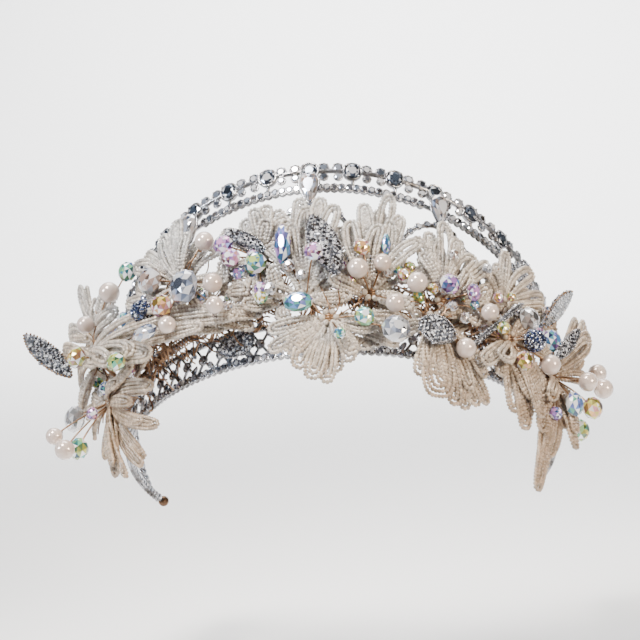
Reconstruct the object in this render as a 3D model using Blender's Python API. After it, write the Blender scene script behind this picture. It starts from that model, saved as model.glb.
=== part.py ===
"""Beaded flower crown: an open stone-set tiara with a garland of seed-bead flowers on its front.

Every place on the crown is given in its own three measures: around (degrees from the middle of
the front, positive towards the wearer's left), height (mm above the bottom edge of the rim) and
stand-off (mm outwards from the rim wall). The whole crown then leans back as it does on a head.
"""

from collections import namedtuple
from math import cos, pi, radians, sin

import bmesh
import bpy
import numpy as np
from mathutils import Matrix, Vector

MM = 0.001

# the rim wall: half of an ellipse that flares a little towards the crest
RIM_HALF_WIDTH = 64.6
RIM_HALF_DEPTH = 71.1
SIDE_FLARE = 3.4
FRONT_FLARE = 3.8
WORN_TILT = 34.0
MM_PER_DEGREE = 1.34

# the silver frame
CREST_HEIGHT = 57.3
CREST_FALL = 0.483
CREST_SHOULDER = 75.0
CREST_END = 105.0
RAIL_DROP = 5.5
TOP_RAIL_MEETS = 84.0
RIM_END = 112.0
BASE_HEIGHT = 1.1
MID_HEIGHT = 10.0
MID_END = 92.0
BASE_RADIUS = 1.1
MID_RADIUS = 0.9
CREST_RADIUS = 1.15
TOP_RADIUS = 0.8
LATTICE_RADIUS = 0.6
LATTICE_PITCH = 11.0
TERMINAL_RADIUS = 1.7
STONE_STEP = 10.42
CREST_STONES_EACH_SIDE = 7
CREST_STONE_RADIUS = 2.2
GABLE_STEP = 31.3
GABLE_HALF_WIDTH = 14.0
GABLE_BELOW_RAIL = 5.0
GABLE_RADIUS = 0.8

# the garland wire that carries the flowers, and the clearance between neighbouring pieces
GARLAND_HEIGHT = 15.0
GARLAND_FALL = 9.0
GARLAND_END = 66.0
GARLAND_STAND_OFF = 2.6
GARLAND_RADIUS = 0.8
CLEARANCE = 0.35
STRAND = 1.7
HUB_RADIUS = 2.6
STEM_RADIUS = 0.8
WIRE_RADIUS = 0.42
LOOP_POINTS = 9
LEAST_SLIT = 0.7
PETAL_START = 1.45
HUB_SPREAD = 1.05
NARROW = 0.45
DEEPEST = 7.0
PEAR_WIDTH = 6.2
PEAR_LENGTH = 9.4
PEAR_BACK = 1.8
PEAR_BELOW_RAIL = 1.3
LEAF_BACK = 0.8
LEAF_FRONT = 0.9

Petal = namedtuple("Petal", "around height stand_off width strands puff bow roll")
Flower = namedtuple("Flower", "around height stand_off petals")
Bead = namedtuple("Bead", "around height stand_off radius flower")
Stone = namedtuple("Stone", "around height stand_off width length turn flower")
Leaf = namedtuple("Leaf", "base_around base_height base_stand_off "
                          "tip_around tip_height tip_stand_off width roll flower")

FLOWERS = {
    "flower_left_drop": Flower(-57, 3, 10, [
        Petal(-51, -24, 13, 7.5, 2, 1, 0, 0),
        Petal(-45, -23, 9, 5.0, 1, 1, 2, 0),
        Petal(-37, -15, 11, 5.5, 1, 2, 2, 0),
        Petal(-39, -2, 10, 5.5, 2, 2, -1, 0)]),
    "flower_left_sweep": Flower(-58, 17, 14, [
        Petal(-10.5, 10, 9, 7.0, 2, 0, -2, 0),
        Petal(-13, 7, 7, 6.0, 2, 1, -4, 0),
        Petal(-34, 3, 17, 8.0, 2, 1, 0, 0),
        Petal(-68, 26, 20, 7.0, 2, 1, 0, 0)]),
    "flower_left_rear": Flower(-65, 28, 10, [
        Petal(-69, 49, 12, 6.5, 2, 1, 0, 0),
        Petal(-60, 43, 9, 6.0, 2, 1, 0, 0),
        Petal(-73, 37, 17, 7.0, 2, 1, 0, 0)]),
    "flower_left_high": Flower(-29, 25, 10, [
        Petal(-40, 40, 10, 6.5, 2, 2, 0, 0),
        Petal(-35, 45, 7, 6.0, 2, 1, 0, 0),
        Petal(-30, 46, 10, 6.5, 2, 2, 0, 0),
        Petal(-24, 40, 7, 6.0, 2, 1, 0, 0)]),
    "flower_mid_left_high": Flower(-11, 28, 6, [
        Petal(-15, 42, 6, 6.5, 2, 1, 0, 0),
        Petal(-9, 44, 8, 6.5, 2, 1, 0, 0)]),
    "flower_centre_high": Flower(-1, 13, 8, [
        Petal(-5, 38, 9, 6.5, 2, 2, 0, 0),
        Petal(-2, 46, 6, 7.0, 2, 1, 0, 0),
        Petal(3, 44, 9, 6.5, 2, 2, 0, 0),
        Petal(8, 36, 6, 6.5, 2, 1, 0, 0),
        Petal(9, 12, 12, 5.5, 2, 1, 1, 0)]),
    "flower_right_high": Flower(13, 14, 8, [
        Petal(12, 42, 9, 6.5, 2, 2, 0, 0),
        Petal(16, 42, 6, 6.5, 2, 1, 0, 0),
        Petal(20, 39, 9, 6.5, 2, 2, 0, 0),
        Petal(20, 10, 11, 7.0, 2, 1, 0, 0)]),
    "flower_right_fan": Flower(29, 14, 8, [
        Petal(23, 33, 9, 6.0, 2, 2, 0, 0),
        Petal(27, 37, 6, 6.5, 2, 1, 0, 0),
        Petal(33, 35, 9, 6.5, 2, 2, 0, 0),
        Petal(37, 33, 6, 6.0, 2, 1, 0, 0),
        Petal(41, 30, 9, 5.5, 2, 2, 0, 0)]),
    "flower_shoulder": Flower(45, 19, 7, [
        Petal(44, 32, 8, 6.0, 2, 1, 0, 0),
        Petal(50, 33, 6, 6.5, 2, 1, 0, 0),
        Petal(60, 29, 8, 6.0, 2, 1, 0, 0)]),
    "flower_centre_drop": Flower(4, 5, 11, [
        Petal(0, -14, 14, 7.5, 2, 2, 0, 0),
        Petal(5, -11, 11, 7.0, 2, 1, 0, 0),
        Petal(-5, -5, 13, 7.5, 2, 1, 0, 0),
        Petal(9, -7, 14, 6.5, 2, 1, 0, 0),
        Petal(19, -1, 9, 5.5, 2, 0, 0, 0)]),
    "flower_right_drop": Flower(25, 5, 13, [
        Petal(26, -18, 14, 12.5, 2, 2, 0, 0),
        Petal(27, -14, 14, 6.5, 2, 2, 0, 0),
        Petal(33, -19, 12, 6.5, 2, 1, 0, 0),
        Petal(40, -14, 9, 6.0, 2, 1, 0, 0)]),
    "flower_far_right_drop": Flower(43, 5, 13, [
        Petal(47, -21, 14, 7.5, 2, 2, 0, 0),
        Petal(35, -6, 16, 6.5, 2, 1, 0, 0),
        Petal(49, -18, 18, 5.5, 2, 1, 0, 0)]),
    "flower_right_end": Flower(56, 0, 13, [
        Petal(51, -37, 13, 6.0, 2, 1, 0, 0),
        Petal(60, -22, 18, 5.5, 2, 1, 0, 0),
        Petal(67, 18, 18, 8.0, 1, 1, 0, 0),
        Petal(67, 24, 14, 7.0, 2, 1, 0, 0)]),
}

PEARLS = {
    "pearl_1": Bead(-49, 32, 15, 3.1, "flower_left_rear"),
    "pearl_2": Bead(-22, 34, 13, 2.8, "flower_left_high"),
    "pearl_3": Bead(-19.5, 19, 15.5, 2.8, "flower_left_high"),
    "pearl_4": Bead(-18.5, 11, 17.5, 2.5, "flower_left_high"),
    "pearl_5": Bead(-29.2, 9.2, 18.2, 2.5, "flower_left_high"),
    "pearl_6": Bead(-60, 29, 16, 2.6, "flower_left_rear"),
    "pearl_7": Bead(-56, -12, 29, 2.5, "flower_left_drop"),
    "pearl_8": Bead(-53, -18, 28, 2.9, "flower_left_drop"),
    "pearl_9": Bead(10, 19, 14, 2.9, "flower_right_high"),
    "pearl_10": Bead(15, 21, 14, 2.5, "flower_right_high"),
    "pearl_11": Bead(22, 16, 14, 2.9, "flower_right_fan"),
    "pearl_12": Bead(17, 8, 16, 2.6, "flower_right_high"),
    "pearl_13": Bead(31, -3.2, 17.2, 2.8, "flower_right_drop"),
    "pearl_14": Bead(37.5, 10.5, 15.5, 2.5, "flower_right_fan"),
    "pearl_15": Bead(51, -1, 19, 2.9, "flower_far_right_drop"),
    "pearl_16": Bead(61, -1.5, 21.5, 2.8, "flower_right_end"),
    "pearl_17": Bead(71, 8.5, 18, 2.8, "flower_right_end"),
    "pearl_18": Bead(67, 0, 22, 2.9, "flower_right_end"),
}

CRYSTALS = {
    "crystal_1": Stone(-44, 36, 13, 6.1, 6.1, 0, "flower_left_rear"),
    "crystal_2": Stone(-30, 15, 19, 6.7, 6.7, 0, "flower_left_high"),
    "crystal_3": Stone(-57.5, 15.5, 20.5, 8.0, 6.2, 0, "flower_left_sweep"),
    "crystal_4": Stone(-41, 3, 21.5, 7.0, 5.6, 0, "flower_left_sweep"),
    "crystal_5": Stone(-58, -13, 20.5, 6.7, 6.7, 0, "flower_left_drop"),
    "crystal_6": Stone(-63, 0, 19, 9.0, 8.0, 0, "flower_left_drop"),
    "crystal_7": Stone(-11, 24, 12, 6.7, 6.7, 0, "flower_mid_left_high"),
    "crystal_8": Stone(-2, 9, 15, 8.5, 6.0, 10, "flower_centre_drop"),
    "crystal_9": Stone(-25.5, 19.5, 17, 9.5, 11.0, -15, "flower_left_high"),
    "crystal_10": Stone(-36, 28, 14, 8.2, 8.2, 0, "flower_left_high"),
    "crystal_11": Stone(17, 0, 16.5, 8.4, 8.4, 0, "flower_centre_drop"),
    "crystal_12": Stone(48, 13, 15, 7.3, 7.3, 0, "flower_shoulder"),
    "crystal_13": Stone(-33.5, 8, 20.5, 9.5, 4.8, 0, "flower_left_sweep"),
    "crystal_14": Stone(63.5, -13.5, 16.5, 6.7, 6.7, 0, "flower_right_end"),
    "crystal_15": Stone(64, -7.5, 20.5, 6.7, 6.7, 0, "flower_right_end"),
}

SMALL_STONES = [
    Stone(-17, 30, 15, 6.0, 6.0, 0, "flower_mid_left_high"),
    Stone(-15.5, 25.5, 15, 5.6, 5.6, 0, "flower_mid_left_high"),
    Stone(-5, 28, 13, 5.0, 13.0, 0, "flower_centre_high"),
    Stone(1.5, 22, 18.5, 5.5, 5.5, 0, "flower_centre_high"),
    Stone(11, 26, 13, 5.0, 5.0, 0, "flower_right_high"),
    Stone(11, 4, 15, 5.8, 5.8, 0, "flower_centre_drop"),
    Stone(29, 17, 14, 6.2, 6.2, 0, "flower_right_fan"),
    Stone(34, 15.5, 15, 4.3, 5.5, 0, "flower_right_fan"),
    Stone(45, -2, 17, 5.8, 5.8, 0, "flower_far_right_drop"),
    Stone(54, 9, 16, 6.7, 6.7, 0, "flower_right_end"),
    Stone(58, -9.5, 19.5, 6.0, 7.5, 0, "flower_right_end"),
]

PAVE_BALLS = {
    "pave_ball_left": Bead(-36.5, 17.5, 17, 3.4, "flower_left_high"),
    "pave_ball_right": Bead(47, 4.5, 18.5, 3.4, "flower_far_right_drop"),
}

LEAVES = {
    "leaf_far_left": Leaf(-62, 12.5, 20, -67, 29, 32, 7.0, 70, "flower_left_sweep"),
    "leaf_base": Leaf(-14, 5, 4, -24, 5, 4, 7.5, 0, "flower_centre_drop"),
    "leaf_centre": Leaf(6, 16, 15.5, 1, 36, 13.5, 8.5, 0, "flower_right_high"),
    "leaf_mid_left": Leaf(-9, 28, 10.5, -18, 37, 10.5, 4.5, 0, "flower_mid_left_high"),
    "leaf_right_drop": Leaf(21, 1.4, 18.5, 28.5, -1.3, 18.5, 8.5, 0, "flower_right_drop"),
    "leaf_right_up": Leaf(53, 14, 14, 70, 36, 11, 6.0, 20, "flower_shoulder"),
    "leaf_right_small": Leaf(53, 2, 19, 61, 15.5, 19, 4.0, 0, "flower_right_end"),
    "leaf_shoulder": Leaf(34, 0, 14, 47, 18, 14, 5.5, 80, "flower_right_drop"),
}

SILVER = ((0.80, 0.80, 0.82, 1.0), 0.22, 1.0)
IVORY_BEADS = ((0.83, 0.76, 0.67, 1.0), 0.30, 0.0)
PEARL = ((0.86, 0.77, 0.71, 1.0), 0.20, 0.0)
CRYSTAL = ((0.80, 0.84, 0.90, 1.0), 0.05, 0.0)
GUNMETAL = ((0.20, 0.19, 0.20, 1.0), 0.25, 0.9)
NAVY_PAVE = ((0.05, 0.07, 0.16, 1.0), 0.15, 0.6)

model = None
worn = None


def start_scene():
    """Empty the scene, and make the crown's collection and the empty that leans it back."""
    global model, worn
    for old in list(bpy.data.objects):
        bpy.data.objects.remove(old, do_unlink=True)
    model = bpy.data.collections.new("beaded_flower_crown")
    bpy.context.scene.collection.children.link(model)
    worn = bpy.data.objects.new("crown_as_worn", None)
    worn.rotation_euler = (-radians(WORN_TILT), 0.0, 0.0)
    model.objects.link(worn)


def spot(around, height, stand_off=0.0):
    """A place on the crown, in metres, before it leans back."""
    angle = np.radians(around)
    height = np.asarray(height, float)
    flare = height / CREST_HEIGHT
    half_width = RIM_HALF_WIDTH + SIDE_FLARE * flare + stand_off
    half_depth = RIM_HALF_DEPTH + FRONT_FLARE * flare + stand_off
    return np.stack([half_width * np.sin(angle), -half_depth * np.cos(angle), height + 0 * angle], -1) * MM


def facing(around):
    """Axes of the rim wall at an angle: along the rim, upwards, and outwards."""
    angle = radians(around)
    outwards = Vector((sin(angle) / RIM_HALF_WIDTH, -cos(angle) / RIM_HALF_DEPTH, 0.0)).normalized()
    upwards = Vector((0.0, 0.0, 1.0))
    return upwards.cross(outwards), upwards, outwards


def finish(name, look):
    """A Principled material of one colour, roughness and metallic value."""
    colour, roughness, metallic = look
    material = bpy.data.materials.new(name)
    material.use_nodes = True
    shader = material.node_tree.nodes["Principled BSDF"]
    shader.inputs["Base Color"].default_value = colour
    shader.inputs["Roughness"].default_value = roughness
    shader.inputs["Metallic"].default_value = metallic
    return material


def add_mesh(name, bm):
    """Put a finished bmesh into the crown's collection as an object."""
    bmesh.ops.recalc_face_normals(bm, faces=bm.faces)
    mesh = bpy.data.meshes.new(name)
    bm.to_mesh(mesh)
    bm.free()
    piece = bpy.data.objects.new(name, mesh)
    model.objects.link(piece)
    return piece


def keep(piece, name, look, smooth=False):
    """Name a finished piece, give it its material and hang it on the leaning empty."""
    piece.name = name
    piece.data.name = name
    piece.data.materials.clear()
    piece.data.materials.append(finish(name, look))
    if smooth:
        piece.data.shade_smooth()
        piece.data.set_sharp_from_angle(angle=radians(40))
    piece.parent = worn
    return piece


def tube(points, radius, resolution=1, cyclic=False):
    """A round wire along points, as a closed mesh with welded caps."""
    curve = bpy.data.curves.new("wire", "CURVE")
    curve.dimensions = "3D"
    curve.bevel_depth = radius * MM
    curve.bevel_resolution = resolution
    curve.use_fill_caps = True
    spline = curve.splines.new("POLY")
    spline.points.add(len(points) - 1)
    for point, place in zip(spline.points, points):
        point.co = (*place, 1.0)
    spline.use_cyclic_u = cyclic
    holder = bpy.data.objects.new("wire", curve)
    model.objects.link(holder)
    bpy.context.view_layer.update()
    mesh = bpy.data.meshes.new_from_object(holder.evaluated_get(bpy.context.evaluated_depsgraph_get()))
    bpy.data.objects.remove(holder, do_unlink=True)
    bm = bmesh.new()
    bm.from_mesh(mesh)
    bpy.data.meshes.remove(mesh)
    bmesh.ops.remove_doubles(bm, verts=bm.verts, dist=1e-7)
    return add_mesh("wire", bm)


def rod(start, end, radius, sides=6):
    """A straight closed wire between two points."""
    start, end = Vector(start), Vector(end)
    bm = bmesh.new()
    turn = Vector((0, 0, 1)).rotation_difference(end - start).to_matrix().to_4x4()
    bmesh.ops.create_cone(bm, cap_ends=True, segments=sides, radius1=radius * MM, radius2=radius * MM,
                          depth=(end - start).length, matrix=Matrix.Translation((start + end) / 2) @ turn)
    return add_mesh("rod", bm)


def ball(centre, radius, sides=10, rings=5):
    """A round bead."""
    bm = bmesh.new()
    bmesh.ops.create_uvsphere(bm, u_segments=sides, v_segments=rings, radius=radius * MM,
                              matrix=Matrix.Translation(Vector(centre)))
    return add_mesh("ball", bm)


def fuse(pieces):
    """Join overlapping closed pieces into one body, the first taking the others one by one."""
    first, others = pieces[0], pieces[1:]
    for other in others:
        join = first.modifiers.new("join", "BOOLEAN")
        join.operation = "UNION"
        join.solver = "EXACT"
        join.object = other
    bpy.context.view_layer.update()
    mesh = bpy.data.meshes.new_from_object(first.evaluated_get(bpy.context.evaluated_depsgraph_get()))
    for piece in pieces:
        bpy.data.objects.remove(piece, do_unlink=True)
    bm = bmesh.new()
    bm.from_mesh(mesh)
    bpy.data.meshes.remove(mesh)
    return add_mesh("fused", bm)


def crest_height(around):
    """Height of the crest: a flattened cosine over the front, then a quarter wave down to the rim."""
    side = min(abs(around), CREST_SHOULDER)
    height = CREST_HEIGHT * (1 - CREST_FALL * (1 - cos(radians(side))))
    past = max(abs(around) - CREST_SHOULDER, 0.0) / (CREST_END - CREST_SHOULDER)
    return BASE_HEIGHT + (height - BASE_HEIGHT) * cos(pi / 2 * min(past, 1.0))


def rail_height(around):
    """The crest rail runs one drop below the crest line and ends on the rim."""
    return max(crest_height(around) - RAIL_DROP * min(1.0, crest_height(around) / RAIL_DROP / 2), BASE_HEIGHT)


def top_height(around):
    """The line of big stones runs along the crest and closes down on the rail behind the shoulder."""
    close = max(0.0, (abs(around) - CREST_SHOULDER) / (TOP_RAIL_MEETS - CREST_SHOULDER))
    return crest_height(around) - min(close, 1.0) * (crest_height(around) - rail_height(around))


def garland_height(around):
    """The garland wire sinks a little towards its ends."""
    return GARLAND_HEIGHT - GARLAND_FALL * (around / GARLAND_END) ** 2


def run(start, end, steps, height, stand_off=0.0):
    """Points along the rim wall from one angle to another at a height that follows a rule."""
    return [spot(around, height(around), stand_off) for around in np.linspace(start, end, steps)]


def cut_stone(outline, levels, centre, axes, sides):
    """A cut stone: one outline repeated at several sizes and depths, closed by table and culet."""
    along, up, out = axes
    bm = bmesh.new()
    rings = []
    for scale, depth in levels:
        ring = []
        for k in range(sides):
            x, y = outline(2 * pi * k / sides)
            place = Vector(centre) + (along * x * scale + up * y * scale + out * depth) * MM
            ring.append(bm.verts.new(place))
        rings.append(ring)
    for lower, upper in zip(rings, rings[1:]):
        for k in range(sides):
            bm.faces.new((lower[k], lower[(k + 1) % sides], upper[(k + 1) % sides], upper[k]))
    bm.faces.new(rings[0])
    bm.faces.new(rings[-1])
    return add_mesh("stone", bm)


def oval(width, length, turn=0.0):
    """An ellipse, turned in its own plane."""
    c, s = cos(radians(turn)), sin(radians(turn))

    def outline(angle):
        x, y = width / 2 * sin(angle), length / 2 * cos(angle)
        return x * c + y * s, y * c - x * s
    return outline


def pear(width, length):
    """A drop with its point down."""
    def outline(angle):
        taper = 0.5 + 0.5 * cos(angle)
        return width / 2 * sin(angle) * (0.35 + 0.65 * taper) * 1.25, length / 2 * cos(angle)
    return outline


def gem(centre, axes, width, length, turn=0.0, sides=8):
    """A round, oval or navette stone with a table, a girdle and a blunt culet."""
    back, table = gem_depths(width, length)
    levels = [(0.30, -back), (1.0, 0.0), (0.62, table)]
    return cut_stone(oval(width, length, turn), levels, centre, axes, sides)


def gem_depths(width, length):
    """How far a stone reaches behind and in front of its girdle; a large one is no deeper than DEEPEST."""
    depth = min(width, length, DEEPEST)
    return 0.40 * depth, 0.28 * depth


def crest_pieces():
    """Big stones along the crest with the two rails and the posts between them."""
    pieces = [tube(run(-CREST_END, CREST_END, 25, rail_height), CREST_RADIUS),
              tube(run(-TOP_RAIL_MEETS, TOP_RAIL_MEETS, 23, top_height), TOP_RADIUS, 0)]
    for k in range(-CREST_STONES_EACH_SIDE, CREST_STONES_EACH_SIDE + 1):
        around = k * STONE_STEP
        centre = spot(around, top_height(around))
        pieces.append(rod(spot(around, rail_height(around)), centre, LATTICE_RADIUS, 5))
        pieces.append(gem(centre, facing(around), 2 * CREST_STONE_RADIUS, 2 * CREST_STONE_RADIUS))
    return pieces


def rim_pieces():
    """Base rail with ball ends, mid rail, and the zigzag lattice between them."""
    pieces = [tube(run(-RIM_END, RIM_END, 27, lambda around: BASE_HEIGHT), BASE_RADIUS),
              tube(run(-MID_END, MID_END, 19, lambda around: MID_HEIGHT), MID_RADIUS, 0)]
    for side in (-1, 1):
        pieces.append(ball(spot(side * RIM_END, BASE_HEIGHT), TERMINAL_RADIUS, 10, 6))
        pieces.append(rod(spot(side * MID_END, BASE_HEIGHT), spot(side * MID_END, MID_HEIGHT), MID_RADIUS))
    lattice_end = MID_END - 4
    half_turns = int(4 * lattice_end / LATTICE_PITCH)
    zigzag = [spot(-lattice_end + k * LATTICE_PITCH / 2, MID_HEIGHT if k % 2 else BASE_HEIGHT)
              for k in range(half_turns + 1)]
    pieces.append(tube(zigzag, LATTICE_RADIUS, 0))
    return pieces


def gable_pieces():
    """Five pointed arches that stand on the mid rail under the crest."""
    pieces = []
    for k in range(-2, 3):
        middle = k * GABLE_STEP
        rise = rail_height(middle) - GABLE_BELOW_RAIL - MID_HEIGHT
        arch = [spot(middle + GABLE_HALF_WIDTH * sin(t), MID_HEIGHT + rise * cos(t) ** 0.8)
                for t in np.linspace(-pi / 2, pi / 2, 7)]
        pieces.append(tube(arch, GABLE_RADIUS, 0))
    return pieces


def garland_pieces():
    """The garland wire and the short ties that hold it off the rim wall."""
    pieces = [tube(run(-GARLAND_END, GARLAND_END, 13, garland_height, GARLAND_STAND_OFF), GARLAND_RADIUS, 0)]
    for k in range(-4, 5):
        around = k * GABLE_STEP / 2
        pieces.append(rod(spot(around, MID_HEIGHT), spot(around, garland_height(around), GARLAND_STAND_OFF),
                          GARLAND_RADIUS, 4))
    return pieces


def build_frame():
    """The soldered silver frame as one solid."""
    frame = fuse(rim_pieces() + garland_pieces() + gable_pieces() + crest_pieces())
    keep(frame, "tiara_frame", SILVER)


def build_pear_drops():
    """Three pear stones set in front of the crest rail above the middle gables."""
    for name, k in (("pear_drop_left", -1), ("pear_drop_middle", 0), ("pear_drop_right", 1)):
        around = k * GABLE_STEP
        stand_off = CREST_RADIUS + CLEARANCE + PEAR_BACK + 0.1
        centre = spot(around, rail_height(around) - PEAR_BELOW_RAIL, stand_off)
        levels = [(0.45, -PEAR_BACK), (1.0, -0.5), (1.0, 0.4), (0.62, 1.6)]
        drop = cut_stone(pear(PEAR_WIDTH, PEAR_LENGTH), levels, centre, facing(around), 12)
        keep(drop, name, CRYSTAL)


def loop_ribbon(hub, petal, level):
    """One petal: a flat closed loop of bead strands from the hub out to its tip and back.

    In the unrolled wall (mm along the rim, mm up, mm out) the middle line runs straight from hub to
    tip, lifted by puff and bent sideways by bow in its middle. The loop swings to both sides of it as
    a blunt sine that is narrow at the hub.
    """
    start = np.array([hub.around * MM_PER_DEGREE, hub.height, hub.stand_off + level], float)
    tip = np.array([petal.around * MM_PER_DEGREE, petal.height, petal.stand_off], float)
    start = start + (tip - start) * PETAL_START / np.linalg.norm(tip - start)
    reach = np.linalg.norm(tip - start)
    ahead = (tip - start) / np.linalg.norm((tip - start)[:2])
    side = np.array([ahead[1], -ahead[0], 0.0])
    out = np.array([0.0, 0.0, 1.0])
    roll = radians(petal.roll)
    across = side * cos(roll) + out * sin(roll)
    thick = out * cos(roll) - side * sin(roll)
    turn = (np.arange(LOOP_POINTS) + 0.5) / LOOP_POINTS * 2 * pi
    bump = np.sign(np.sin(turn)) * np.abs(np.sin(turn)) ** 0.6
    band = petal.strands * STRAND

    def edge(inset):
        along = inset / reach + (1 - 2 * inset / reach) * (1 - np.cos(turn)) / 2
        half = max(petal.width / 2 - inset, LEAST_SLIT / 2)
        hump = 4 * along * (1 - along)
        middle = start + np.outer(along, tip - start) + np.outer(hump, side * petal.bow + out * petal.puff)
        return middle + np.outer(half * bump * (NARROW + (1 - NARROW) * along), across)

    bm = bmesh.new()
    rings = []
    for inset, depth in ((0, -STRAND / 2), (0, STRAND / 2), (band, STRAND / 2), (band, -STRAND / 2)):
        unrolled = edge(inset) + thick * depth
        places = spot(unrolled[:, 0] / MM_PER_DEGREE, unrolled[:, 1], unrolled[:, 2])
        rings.append([bm.verts.new(place) for place in places])
    for a, b in zip(rings, rings[1:] + rings[:1]):
        for k in range(LOOP_POINTS):
            after = (k + 1) % LOOP_POINTS
            bm.faces.new((a[k], a[after], b[after], b[k]))
    return add_mesh("petal", bm)


def wire_to(hub, around, height, stand_off, half_sizes):
    """A straight wire from a flower's hub that ends just short of a bead, taken as an ellipsoid."""
    start = Vector(spot(hub.around, hub.height, hub.stand_off))
    end = Vector(spot(around, height, stand_off))
    way = (end - start).normalized()
    share = [way.dot(axis) / half for axis, half in zip(facing(around), half_sizes)]
    end -= way * (1 / Vector(share).length + CLEARANCE) * MM
    return rod(start, end, WIRE_RADIUS, 4)


def wires_of(name, hub):
    """The wires from a flower's hub to the beads, crystals and leaves that it carries."""
    wires = []
    for bead in list(PEARLS.values()) + list(PAVE_BALLS.values()):
        if bead.flower == name:
            wires.append(wire_to(hub, *bead[:3], (bead.radius, bead.radius, bead.radius)))
    for stone in CRYSTALS.values():
        if stone.flower == name:
            half_sizes = (stone.width / 2, stone.length / 2, gem_depths(stone.width, stone.length)[0])
            wires.append(wire_to(hub, *stone[:3], half_sizes))
    for leaf in LEAVES.values():
        if leaf.flower == name:
            behind = leaf.base_stand_off - 1.5 * CLEARANCE
            wires.append(wire_to(hub, leaf.base_around, leaf.base_height, behind, 3 * (CLEARANCE / 2,)))
    return wires


def build_flower(name, hub):
    """A flower: hub, petals, the stem to the garland wire, bead wires and its own small stones."""
    centre = Vector(spot(hub.around, hub.height, hub.stand_off))
    stem_end = Vector(spot(hub.around, garland_height(hub.around), GARLAND_STAND_OFF))
    stem_end += (centre - stem_end).normalized() * (GARLAND_RADIUS + CLEARANCE) * MM
    pieces = [ball(centre, HUB_RADIUS, 8, 4), rod(stem_end, centre, STEM_RADIUS)]
    levels = np.linspace(-HUB_SPREAD, HUB_SPREAD, len(hub.petals))
    pieces += [loop_ribbon(hub, petal, level) for petal, level in zip(hub.petals, levels)]
    pieces += wires_of(name, hub)
    for stone in SMALL_STONES:
        if stone.flower == name:
            centre = spot(*stone[:3])
            pieces.append(rod(spot(hub.around, hub.height, hub.stand_off), centre, WIRE_RADIUS, 4))
            pieces.append(gem(centre, facing(stone.around), stone.width, stone.length, stone.turn))
    keep(fuse(pieces), name, IVORY_BEADS)


def build_beads():
    """Pearls, pave balls and the main crystals, each a piece of its own."""
    for name, bead in PEARLS.items():
        keep(ball(spot(*bead[:3]), bead.radius), name, PEARL, smooth=True)
    for name, bead in PAVE_BALLS.items():
        keep(ball(spot(*bead[:3]), bead.radius), name, NAVY_PAVE)
    for name, stone in CRYSTALS.items():
        piece = gem(spot(*stone[:3]), facing(stone.around), stone.width, stone.length, stone.turn)
        keep(piece, name, CRYSTAL)


def build_leaf(name, leaf):
    """A pave leaf: a thin navette from its base to its tip, domed on its outer face."""
    base = Vector(spot(leaf.base_around, leaf.base_height, leaf.base_stand_off))
    tip = Vector(spot(leaf.tip_around, leaf.tip_height, leaf.tip_stand_off))
    length = (tip - base).length / MM
    up = (tip - base).normalized()
    out = facing((leaf.base_around + leaf.tip_around) / 2)[2]
    out = (out - up * out.dot(up)).normalized()
    out = Matrix.Rotation(radians(leaf.roll), 3, up) @ out
    axes = (up.cross(out), up, out)

    def outline(angle):
        return leaf.width / 2 * sin(angle) * (0.55 + 0.45 * abs(sin(angle))), length / 2 * cos(angle)
    levels = [(0.7, -LEAF_BACK), (1.0, -0.1), (0.55, LEAF_FRONT)]
    keep(cut_stone(outline, levels, (base + tip) / 2, axes, 10), name, GUNMETAL)


def main():
    """Build every piece of the crown."""
    start_scene()
    build_frame()
    build_pear_drops()
    for name, flower in FLOWERS.items():
        build_flower(name, flower)
    build_beads()
    for name, leaf in LEAVES.items():
        build_leaf(name, leaf)


main()
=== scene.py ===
"""Looks of a beaded flower crown: stone-set silver rails, seed-bead loop flowers, pearls and crystals.

Places are given as on a maker's bench: around (degrees from the middle of the front, positive to the
wearer's left), height (mm above the rim's bottom edge) and stand-off (mm outwards from the rim wall).
"""

import logging
from dataclasses import dataclass, field
from enum import Enum

import bpy
import numpy as np
from mathutils import Matrix, Vector


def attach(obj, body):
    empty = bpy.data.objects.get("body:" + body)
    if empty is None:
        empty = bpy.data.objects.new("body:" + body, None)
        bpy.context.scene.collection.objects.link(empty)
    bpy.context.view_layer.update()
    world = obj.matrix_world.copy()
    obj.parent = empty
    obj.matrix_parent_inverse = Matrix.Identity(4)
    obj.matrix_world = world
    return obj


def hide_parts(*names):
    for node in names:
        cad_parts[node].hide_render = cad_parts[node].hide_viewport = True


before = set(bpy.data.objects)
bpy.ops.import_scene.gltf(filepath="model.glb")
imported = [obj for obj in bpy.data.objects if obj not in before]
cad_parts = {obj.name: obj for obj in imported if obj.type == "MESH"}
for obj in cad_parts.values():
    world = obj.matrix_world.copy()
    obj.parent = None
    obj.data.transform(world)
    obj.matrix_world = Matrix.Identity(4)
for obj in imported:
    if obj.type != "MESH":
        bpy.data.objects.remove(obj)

MM = 0.001
BODY = "root"
MM_PER_DEGREE = 1.34  # along the rim
PRONGED_FROM = 1.4  # mm: cups of smaller stones have no prongs
BUMP_DEPTH = 0.0001  # metres
MIX_A, MIX_B, MIX_RESULT = 6, 7, 2  # a colour mix's sockets
log = logging.getLogger("crown")
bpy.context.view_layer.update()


class Slot(Enum):
    """Material slots of the record."""

    SILVER = "silver_setting"
    BEADS = "ivory_seed_beads"
    PEARL = "pearl"
    CRYSTAL = "cut_crystal"
    NAVY = "navy_pave"
    GUNMETAL = "gunmetal_pave"


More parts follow.
